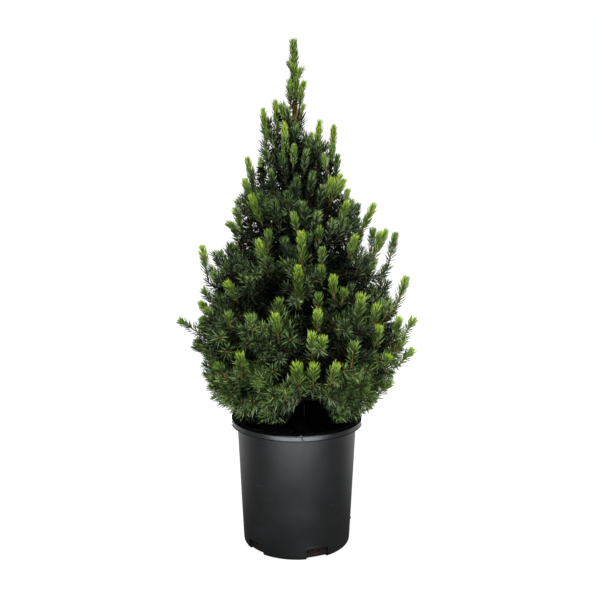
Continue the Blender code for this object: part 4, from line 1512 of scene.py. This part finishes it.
def makeBark():
    low = trunk["mixLevel"] - barkLooks["below"]
    heights = np.linspace(low, trunk["top"], 60)
    tubes = [addTube("trunkTube", [trunkPoint(z) for z in heights],
                     [trunkRadius(max(z, trunk["mixLevel"])) for z in heights])]
    for limb in limbs:
        if limb["tier"] == "leader":
            continue
        share = trunkShare(limb["start"].z)
        thick = barkLooks["boughThick"][0] * (1 - share) + barkLooks["boughThick"][1] * share
        stations = np.linspace(0, 1, 9)
        points = [limbPoint(limb, crown["boughShare"] * s) for s in stations]
        collar = [1 + barkLooks["collar"] * max(0, 1 - s / barkLooks["collarShare"])
                  for s in stations]
        radii = [(thick + (barkLooks["boughEnd"] - thick) * s) * c
                 for s, c in zip(stations, collar)]
        tubes.append(addTube("boughTube", points, radii))
    bpy.ops.object.select_all(action="DESELECT")
    for tube in tubes:
        tube.select_set(True)
    bpy.context.view_layer.objects.active = tubes[0]
    bpy.ops.object.convert(target="MESH")
    bpy.ops.object.join()
    wood = bpy.context.object
    wood.name = "barkedWood"
    remesh = wood.modifiers.new("remesh", "REMESH")
    remesh.mode = "VOXEL"
    remesh.voxel_size = barkLooks["voxel"]
    remesh.use_smooth_shade = True
    bpy.ops.object.modifier_apply(modifier="remesh")
    mesh = wood.data
    co = np.zeros(len(mesh.vertices) * 3, np.float32)
    normals = np.zeros(len(mesh.vertices) * 3, np.float32)
    mesh.vertices.foreach_get("co", co)
    mesh.vertices.foreach_get("normal", normals)
    co, normals = co.reshape(-1, 3), normals.reshape(-1, 3)
    lift = np.zeros(len(co), np.float32)
    for i, place in enumerate(co):
        fine = noise.noise(Vector(place * barkLooks["grainScale"]))
        plate = noise.noise(Vector(place * barkLooks["plateScale"]) + Vector((7, 3, 1)))
        plate = min(plate, barkLooks["plateTop"]) * barkLooks["plateShare"]
        lift[i] = fine * barkLooks["grainShare"] + plate
    co += normals * (lift * barkLooks["relief"])[:, None]
    mesh.vertices.foreach_set("co", co.reshape(-1))
    mesh.update()
    surface = barkMaterial()
    boughNodes = sorted(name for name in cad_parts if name.startswith("bough_"))
    finishPiece(wood, surface, ["trunk"] + boughNodes)
    print("bark faces:", len(mesh.polygons))


makeBark()

# Pot

potSizes = {
    "height": 0.165,
    "rimRadius": 0.0825,
    "lipDepth": 0.0078,
    "lipWall": 0.0014,
    "lipRound": 0.0006,
    "brimRound": 0.0009,
    "wall": 0.0015,
    "wallTop": 0.0751,
    "wallFoot": 0.0681,
    "footRound": 0.005,
    "wallRings": (0.012, 0.020, 0.035, 0.045, 0.070, 0.100, 0.130),      # outside
    "innerRings": (0.130, 0.090, 0.050, 0.020),      # heights of the rings inside
    "around": 160,
    "smoothAngle": 32,
    "lipProud": 0.0006,              # how far the lip's flat band stands out
    "cellBand": (0.0014, 0.0068),    # recessed cells round the lip, below its top edge
    "cells": 16,
    "cellEdge": 0.0004,
    "cellDepth": 0.0005,
    "slots": 5,
    "slotBearing": -49.5,
    "slotWidth": 0.028,
    "slotTop": 0.0145,
    "slotInner": 0.0595,
    "slotCorner": 0.0012,
    "splitBearing": 4.4,             # a short split in the lip
    "splitWidth": 0.0017,
    "splitLean": 20,
    "splitDeep": 0.006,              # its cutter's depth, and its height as a share of the lip's
    "splitTall": 1.3,
    "splitOut": 0.0015,              # where its middle lies beyond the rim and above mid-lip
    "splitUp": 0.0004,
    "nubBearing": 88,                # a moulding nub low on the wall
    "nubHeight": 0.0245,
    "nubSize": 0.0009,
    "cutBeyond": 0.004,              # how far the slots' cutters reach past the wall
    "scratch": (8, 27, 0.0163, 0.0178),      # a pale one: first and last bearing and height
    "scratchRadius": 0.00016,
    "scratchProud": 0.00005,
}


def cornerRings(radius, centreRadius, centreHeight, first, last, steps):
    # rings along a rounded corner, from one angle to another above the outward level
    rings = []
    for i in range(steps + 1):
        angle = math.radians(first + (last - first) * i / steps)
        rings.append((centreRadius + radius * math.cos(angle),
                      centreHeight + radius * math.sin(angle)))
    return rings


def wallRadius(height):
    low, high = potSizes["footRound"], potSizes["height"] - potSizes["lipDepth"]
    share = (height - low) / (high - low)
    return potSizes["wallFoot"] + (potSizes["wallTop"] - potSizes["wallFoot"]) * share


def turnedBody(name, rings, around):
    # a disc that is extruded and widened ring by ring along the profile, its last ring a cap
    radius, height = rings[0]
    bpy.ops.mesh.primitive_circle_add(
        vertices=around, radius=radius, fill_type="NGON", location=(0, 0, height))
    obj = bpy.context.object
    obj.name = name
    bpy.ops.object.transform_apply(location=True, rotation=True, scale=True)
    bpy.ops.object.mode_set(mode="EDIT")
    bpy.ops.mesh.select_all(action="SELECT")
    for (oldRadius, oldHeight), (newRadius, newHeight) in zip(rings, rings[1:]):
        rise = (0, 0, newHeight - oldHeight)
        bpy.ops.mesh.extrude_region_move(TRANSFORM_OT_translate={"value": rise})
        wider = newRadius / oldRadius
        bpy.ops.transform.resize(value=(wider, wider, 1), center_override=(0, 0, newHeight))
    bpy.ops.mesh.select_all(action="SELECT")
    bpy.ops.mesh.normals_make_consistent(inside=False)
    bpy.ops.mesh.select_all(action="DESELECT")
    bpy.ops.object.mode_set(mode="OBJECT")
    return obj


def potRings():
    s = potSizes
    top, rim = s["height"], s["rimRadius"]
    under = top - s["lipDepth"]
    inside = s["wallTop"] - s["wall"]
    lipInside = rim - s["lipWall"]
    lipTop = top - s["wall"]
    footRadius = s["wallFoot"] - s["footRound"]
    small, footRound = s["lipRound"], s["footRound"]
    rings = cornerRings(footRound, footRadius, footRound, -90, 0, 8)
    rings += [(wallRadius(z), z) for z in s["wallRings"]]
    rings += [(wallRadius(under), under), (wallRadius(lipTop), lipTop), (lipInside, lipTop)]
    rings += [(lipInside, under + small)]
    band = rim + s["lipProud"]
    rings += cornerRings(small, band - small, under + small, -110, 0, 3)
    rings += [(band, top - s["cellBand"][1]), (band, top - s["cellBand"][0])]
    rings += cornerRings(2 * small, band - 2 * small, top - 2 * small, 0, 90, 4)
    rings += cornerRings(s["brimRound"], inside + s["brimRound"], top - s["brimRound"], 90, 180, 4)
    rings += [(inside, under)]
    rings += [(wallRadius(z) - s["wall"], z) for z in s["innerRings"]]
    inner = cornerRings(footRound - s["wall"], footRadius, footRound, 0, -90, 4)
    return rings + inner[:-1] + [(footRadius - 0.001, s["wall"])]


def selectFaces(obj, wanted):
    for polygon in obj.data.polygons:
        polygon.select = bool(wanted(polygon))
    for edge in obj.data.edges:
        edge.select = False
    for vertex in obj.data.vertices:
        vertex.select = False


def bearingOf(place):
    return math.degrees(math.atan2(place.x, -place.y))


def makeCells(obj):
    # shallow cells round the lip with a rib between each two
    low, high = potSizes["cellBand"]
    middle = potSizes["height"] - (low + high) / 2
    pitch = 360 / potSizes["cells"]
    step = 360 / potSizes["around"]

    def inCell(polygon):
        centre = polygon.center
        out = math.hypot(centre.x, centre.y)
        onBand = abs(centre.z - middle) < 0.0003 and out > potSizes["rimRadius"] - 0.001
        return onBand and (bearingOf(centre) + 1.2 * step) % pitch > step
    selectFaces(obj, inCell)
    bpy.ops.object.mode_set(mode="EDIT")
    bpy.ops.mesh.select_mode(type="FACE")
    bpy.ops.mesh.inset(thickness=potSizes["cellEdge"], depth=-potSizes["cellDepth"])
    bpy.ops.mesh.select_all(action="DESELECT")
    bpy.ops.object.mode_set(mode="OBJECT")


def makeNub(obj):
    # one face of the wall drawn out into a small nub
    spot = bearingVector(potSizes["nubBearing"]) * wallRadius(potSizes["nubHeight"])
    spot.z = potSizes["nubHeight"]
    nearestFace = min(obj.data.polygons, key=lambda polygon: (polygon.center - spot).length)
    selectFaces(obj, lambda polygon: polygon == nearestFace)
    outward = bearingVector(potSizes["nubBearing"]) * potSizes["nubSize"]
    bpy.ops.object.mode_set(mode="EDIT")
    bpy.ops.mesh.inset(thickness=potSizes["nubSize"])
    bpy.ops.transform.resize(value=(1, 1, 0.3))
    bpy.ops.mesh.extrude_region_move(TRANSFORM_OT_translate={"value": outward})
    bpy.ops.transform.resize(value=(1, 0.5, 0.5))
    bpy.ops.mesh.select_all(action="DESELECT")
    bpy.ops.object.mode_set(mode="OBJECT")


def cutBy(obj, cutter):
    cut = obj.modifiers.new("cut", "BOOLEAN")
    cut.operation = "DIFFERENCE"
    cut.solver = "EXACT"
    cut.object = cutter
    bpy.ops.object.select_all(action="DESELECT")
    bpy.context.view_layer.objects.active = obj
    bpy.ops.object.modifier_apply(modifier="cut")
    bpy.data.objects.remove(cutter)


def slotCutter(number):
    s = potSizes
    bearing = s["slotBearing"] + 360 / s["slots"] * number
    outer = s["wallFoot"] + s["cutBeyond"]
    length, height = outer - s["slotInner"], s["slotTop"] + s["cutBeyond"]
    bpy.ops.mesh.primitive_cube_add(size=1)
    cutter = bpy.context.object
    cutter.scale = (s["slotWidth"], length, height)
    bpy.ops.object.transform_apply(location=True, rotation=True, scale=True)
    bevel = cutter.modifiers.new("corners", "BEVEL")
    bevel.width = s["slotCorner"]
    bevel.segments = 4
    bpy.ops.object.modifier_apply(modifier="corners")
    cutter.rotation_euler.z = math.radians(bearing)
    cutter.location = bearingVector(bearing) * (outer + s["slotInner"]) / 2
    cutter.location.z = (s["slotTop"] - s["cutBeyond"]) / 2
    return cutter


def splitCutter():
    s = potSizes
    bpy.ops.mesh.primitive_cube_add(size=1)
    cutter = bpy.context.object
    cutter.scale = (s["splitWidth"], s["splitDeep"], s["lipDepth"] * s["splitTall"])
    bpy.ops.object.transform_apply(location=True, rotation=True, scale=True)
    cutter.rotation_euler = (0, math.radians(-s["splitLean"]), math.radians(s["splitBearing"]))
    cutter.location = bearingVector(s["splitBearing"]) * (s["rimRadius"] + s["splitOut"])
    cutter.location.z = s["height"] - s["lipDepth"] / 2 + s["splitUp"]
    return cutter


def makeScuffs():
    # level scratches that come and go, as a mask for colour and roughness
    group, start, end = newGroup(
        "scuffs",
        [("Amount", "NodeSocketFloat", 0.5), ("Stretch", "NodeSocketVector", (30, 30, 900))],
        [("Mask", "NodeSocketFloat")],
    )
    place = ownPlace(group)
    stretched = vectorNode(group, "MULTIPLY", place, start["Stretch"])
    streaks = rangeNode(group, noiseNode(group, stretched, 1.0, 3), potLooks["streaks"])
    patchy = noiseNode(group, place, potLooks["patchScale"], 2)
    patches = rangeNode(group, patchy, potLooks["patches"])
    both = mathNode(group, "MULTIPLY", streaks, patches)
    feed(group, mathNode(group, "MULTIPLY", both, start["Amount"]), end["Mask"])
    return group


potLooks = {
    "light": (0.0066, 0.0073, 0.0071),
    "dark": (0.0035, 0.0041, 0.0039),
    "scuffed": (0.060, 0.062, 0.064),
    "toneScale": 26.0,
    "toneContrast": 1.6,
    "specular": 0.5,
    "scuffStretch": (26, 26, 820),   # a far higher scale up the wall makes streaks level
    "streaks": (0.60, 0.74),         # noise over which a streak comes in, and a patch of them
    "patches": (0.50, 0.68),
    "patchScale": 34.0,
    "scuffs": 0.5,                   # how strongly they show, and on the scratch
    "scratchScuffs": 0.2,
    "scratchLight": (0.10, 0.095, 0.085),
    "scratchDark": (0.04, 0.04, 0.038),
    "smooth": 0.28,
    "rough": 0.41,
    "scuffRough": 0.3,               # what a scuff adds to the roughness
    "lipRange": (0.0800, 0.0808),    # radii between which the lip's smoother outer band begins
    "lipShare": 0.54,                # its roughness as a share of the wall's
    "wearRange": (0.3, 0.7),         # noise over which it turns from smooth to rough
    "grain": 0.00003,                # depth and scale of its finest bump
    "grainScale": 1500.0,
}

scuffs = makeScuffs()


def plasticMaterial(name, light, dark, scuffAmount):
    surface, tree, shader = newMaterial(name, potLooks["rough"], potLooks["specular"])
    tone = mottled(tree, light, dark, potLooks["toneScale"], potLooks["toneContrast"])
    stretch = potLooks["scuffStretch"]
    marks = placeGroup(tree, scuffs, Amount=scuffAmount, Stretch=stretch)["Mask"]
    scuffed = mixNode(tree, marks, tone["Colour"], (*potLooks["scuffed"], 1))
    place = ownPlace(tree)
    finish = (potLooks["smooth"], potLooks["rough"])
    wear = rangeNode(tree, tone["Height"], potLooks["wearRange"], finish)
    worn = mathNode(tree, "MULTIPLY_ADD", marks, potLooks["scuffRough"], wear)
    radius = vectorNode(tree, "LENGTH", vectorNode(tree, "MULTIPLY", place, (1, 1, 0)))
    lip = rangeNode(tree, radius, potLooks["lipRange"], (1.0, potLooks["lipShare"]))
    grain = noiseNode(tree, place, potLooks["grainScale"], 2)
    feed(tree, scuffed, shader.inputs["Base Color"])
    feed(tree, mathNode(tree, "MULTIPLY", worn, lip), shader.inputs["Roughness"])
    addBump(tree, shader, grain, potLooks["grain"])
    return surface


def makePot():
    pot = turnedBody("pot_shell", potRings(), potSizes["around"])
    makeCells(pot)
    makeNub(pot)
    for number in range(potSizes["slots"]):
        cutBy(pot, slotCutter(number))
    cutBy(pot, splitCutter())
    bpy.ops.object.select_all(action="DESELECT")
    pot.select_set(True)
    bpy.context.view_layer.objects.active = pot
    bpy.ops.object.shade_smooth_by_angle(angle=math.radians(potSizes["smoothAngle"]))
    surface = plasticMaterial("potPlastic", potLooks["light"], potLooks["dark"],
                              potLooks["scuffs"])
    finishPiece(pot, surface, ["pot"])
    print("pot faces:", len(pot.data.polygons))


def makeScratch():
    # a thin tube that lies on the wall, thinner towards its ends
    first, last, low, high = potSizes["scratch"]
    shares = np.linspace(0, 1, 12)
    points = []
    for share in shares:
        height = low + (high - low) * share ** 0.7
        out = wallRadius(height) + potSizes["scratchProud"]
        place = bearingVector(first + (last - first) * share) * out
        points.append(place + Vector((0, 0, height)))
    radii = [potSizes["scratchRadius"] * math.sin(math.pi * (0.08 + 0.84 * share))
             for share in shares]
    scratch = addTube("pot_scratch", points, radii)
    bpy.ops.object.convert(target="MESH")
    surface = plasticMaterial("scratchedPlastic", potLooks["scratchLight"],
                              potLooks["scratchDark"], potLooks["scratchScuffs"])
    finishPiece(scratch, surface, ["pot"])


# Potting mix: a crumbly dark top, and a root ball that shows in the slots

mix = {
    "level": 0.1475,
    "settled": 0.003,        # how much lower it is at the wall
    "flat": 0.022,           # radius of its level middle, and of where half that fall is reached
    "shoulder": 0.060,
    "clear": 0.0006,         # between the root ball and the pot
    "around": 128,
    "topStep": 0.0019,       # between the rings of its top
    "lowRings": (0.0065, 0.020, 0.0012),     # heights from, to and step, then from, to and count
    "highRings": (0.022, 0.142, 16),
    "relief": 0.0014,
    "lumps": 190,            # scale of its roughness, and scale and share of the finer one
    "grains": 600,
    "grainShare": 0.6,
    "sideIn": 0.0009,        # how far its side lies further in, and the relief there
    "sideRelief": 0.0006,
    # scale, depth of the bump and roughness of the mix, of crumbs and of roots
    "look": (420, 0.0010, 0.95),
    "crumbLook": (300, 0.0004, 0.9),
    "rootLook": (260, 0.0003, 0.85),
    "crumbs": 1500,
    "crumbSize": (0.0007, 0.0026),
    "crumbSkew": 2.4,        # above 1, small ones are commoner
    "crumbTilt": 0.5,
    "chipShare": 0.25,
    # roots behind each slot: how many, the spread of their bearings, the heights at which they
    # start and between which they stay, how much they turn at each step, and how thick they are
    "slotRoots": 7,
    "rootSpread": 11,
    "rootStarts": (0.0035, 0.013),
    "rootHeights": (0.0035, 0.0165),
    "rootTurn": 38,
    "rootSteps": 9,
    "rootThick": (0.00042, 0.00022),
    "light": (0.014, 0.010, 0.008),
    "dark": (0.003, 0.0025, 0.002),
    "chipLight": (0.040, 0.025, 0.016),
    "chipDark": (0.008, 0.005, 0.004),
    "rootLight": (0.075, 0.036, 0.024),
    "rootDark": (0.014, 0.007, 0.005),
}


def mixTop(radius):
    # height of the settled surface at a radius
    edge = wallRadius(mix["level"]) - potSizes["wall"]
    radii = (0.0, mix["flat"], mix["shoulder"], edge)
    falls = (0.0, 0.0, mix["settled"] / 2, mix["settled"])
    return mix["level"] - float(np.interp(radius, radii, falls))


def ballRadius(height):
    return wallRadius(max(height, potSizes["footRound"])) - potSizes["wall"] - mix["clear"]


def makeMix():
    foot = potSizes["footRound"]
    inner = foot - potSizes["wall"] - mix["clear"]
    rings = cornerRings(inner, potSizes["wallFoot"] - foot, foot, -90, 0, 4)
    rings[0] = (rings[0][0], potSizes["wall"] + mix["clear"])
    rings += [(ballRadius(z), z) for z in np.arange(*mix["lowRings"])]
    rings += [(ballRadius(z), z) for z in np.linspace(*mix["highRings"])]
    edge = ballRadius(mix["level"] - mix["settled"])
    tops = np.arange(edge, 0.0008, -mix["topStep"])
    rings += [(radius, mixTop(radius)) for radius in tops]
    obj = turnedBody("root_ball", rings, mix["around"])
    for vertex in obj.data.vertices:
        place = vertex.co
        rough = noise.fractal(place * mix["lumps"], 0.9, 2.1, 4)
        rough += mix["grainShare"] * noise.noise(place * mix["grains"])
        out = math.hypot(place.x, place.y)
        if place.z > mixTop(0.07) - 0.0006 and out < edge - 0.0004:
            vertex.co.z += rough * mix["relief"]
        elif 0.004 < place.z < 0.14 and out > 0.06:
            shrink = 1 - (mix["sideIn"] + rough * mix["sideRelief"]) / out
            vertex.co.x *= shrink
            vertex.co.y *= shrink
    bpy.ops.object.shade_smooth()
    surface = woodMaterial("mixSurface", mix["light"], mix["dark"], *mix["look"])
    finishPiece(obj, surface, ["potting_mix"])
    print("root ball faces:", len(obj.data.polygons))


def makeCrumbs():
    # loose crumbs and bark chips on the mix, each a small crushed octahedron
    rng = np.random.default_rng(8)
    count = mix["crumbs"]
    shape = np.array([(1, 0, 0), (0, 1, 0), (-1, 0, 0), (0, -1, 0), (0, 0, 1), (0, 0, -1)], float)
    faces = np.array([(0, 1, 4), (1, 2, 4), (2, 3, 4), (3, 0, 4),
                      (1, 0, 5), (2, 1, 5), (3, 2, 5), (0, 3, 5)])
    outs = np.sqrt(rng.uniform(0, 1, count)) * (ballRadius(mix["level"]) - 0.003)
    turns = rng.uniform(0, 2 * math.pi, count)
    low, high = mix["crumbSize"]
    sizes = low + (high - low) * rng.uniform(0, 1, count) ** mix["crumbSkew"]
    spin = rng.uniform(0, 2 * math.pi, count)
    tilt = rng.uniform(-mix["crumbTilt"], mix["crumbTilt"], count)
    stretch = np.stack([rng.uniform(0.8, 1.5, count), rng.uniform(0.6, 1.0, count),
                        rng.uniform(0.35, 0.7, count)], axis=1)
    corners = shape[None] * (1 + rng.uniform(-0.25, 0.25, (count, 6, 1))) * stretch[:, None]
    corners = corners * sizes[:, None, None]
    x, y, z = corners[..., 0], corners[..., 1], corners[..., 2]
    c, s = np.cos(tilt)[:, None], np.sin(tilt)[:, None]
    x, z = x * c - z * s, x * s + z * c
    c, s = np.cos(spin)[:, None], np.sin(spin)[:, None]
    x, y = x * c - y * s, x * s + y * c
    heights = np.array([mixTop(out) for out in outs]) + sizes * 0.25
    placed = np.stack([x + (outs * np.sin(turns))[:, None], y - (outs * np.cos(turns))[:, None],
                       z + heights[:, None]], axis=2)
    chips = rng.uniform(size=count) < mix["chipShare"]
    for name, chosen, light, dark in (
            ("mix_crumbs", ~chips, mix["light"], mix["dark"]),
            ("mix_chips", chips, mix["chipLight"], mix["chipDark"])):
        obj = joinedMesh(name, placed[chosen], faces, {})
        surface = woodMaterial(name, light, dark, *mix["crumbLook"])
        finishPiece(obj, surface, ["potting_mix"])
    print("crumbs:", count)


def makeRoots():
    # fine roots that lie on the root ball where the slots show it
    rng = random.Random("roots")
    spread, swing, steps = mix["rootSpread"], mix["rootTurn"], mix["rootSteps"]
    lowest, highest = mix["rootHeights"]
    paths = []
    for slot in range(potSizes["slots"]):
        middle = potSizes["slotBearing"] + 360 / potSizes["slots"] * slot
        for _ in range(mix["slotRoots"]):
            bearing = middle + rng.uniform(-spread, spread)
            height = rng.uniform(*mix["rootStarts"])
            heading = rng.uniform(0, 360)
            path = []
            for _ in range(steps):
                out = ballRadius(height) - 0.0006
                path.append(bearingVector(bearing) * out + Vector((0, 0, height)))
                heading += rng.uniform(-swing, swing)
                bearing += 1.3 * math.cos(math.radians(heading))
                height += 0.0012 * math.sin(math.radians(heading))
                height = min(max(height, lowest), highest)
            paths.append(path)
    radii = [np.linspace(*mix["rootThick"], steps) for _ in paths]
    corners, faces = tubeArrays(paths, radii)
    obj = joinedMesh("slot_roots", corners, faces, {})
    surface = woodMaterial("rootSkin", mix["rootLight"], mix["rootDark"], *mix["rootLook"])
    finishPiece(obj, surface, ["potting_mix"])
    print("roots:", len(paths))


makePot()
makeScratch()
makeMix()
makeCrumbs()
makeRoots()
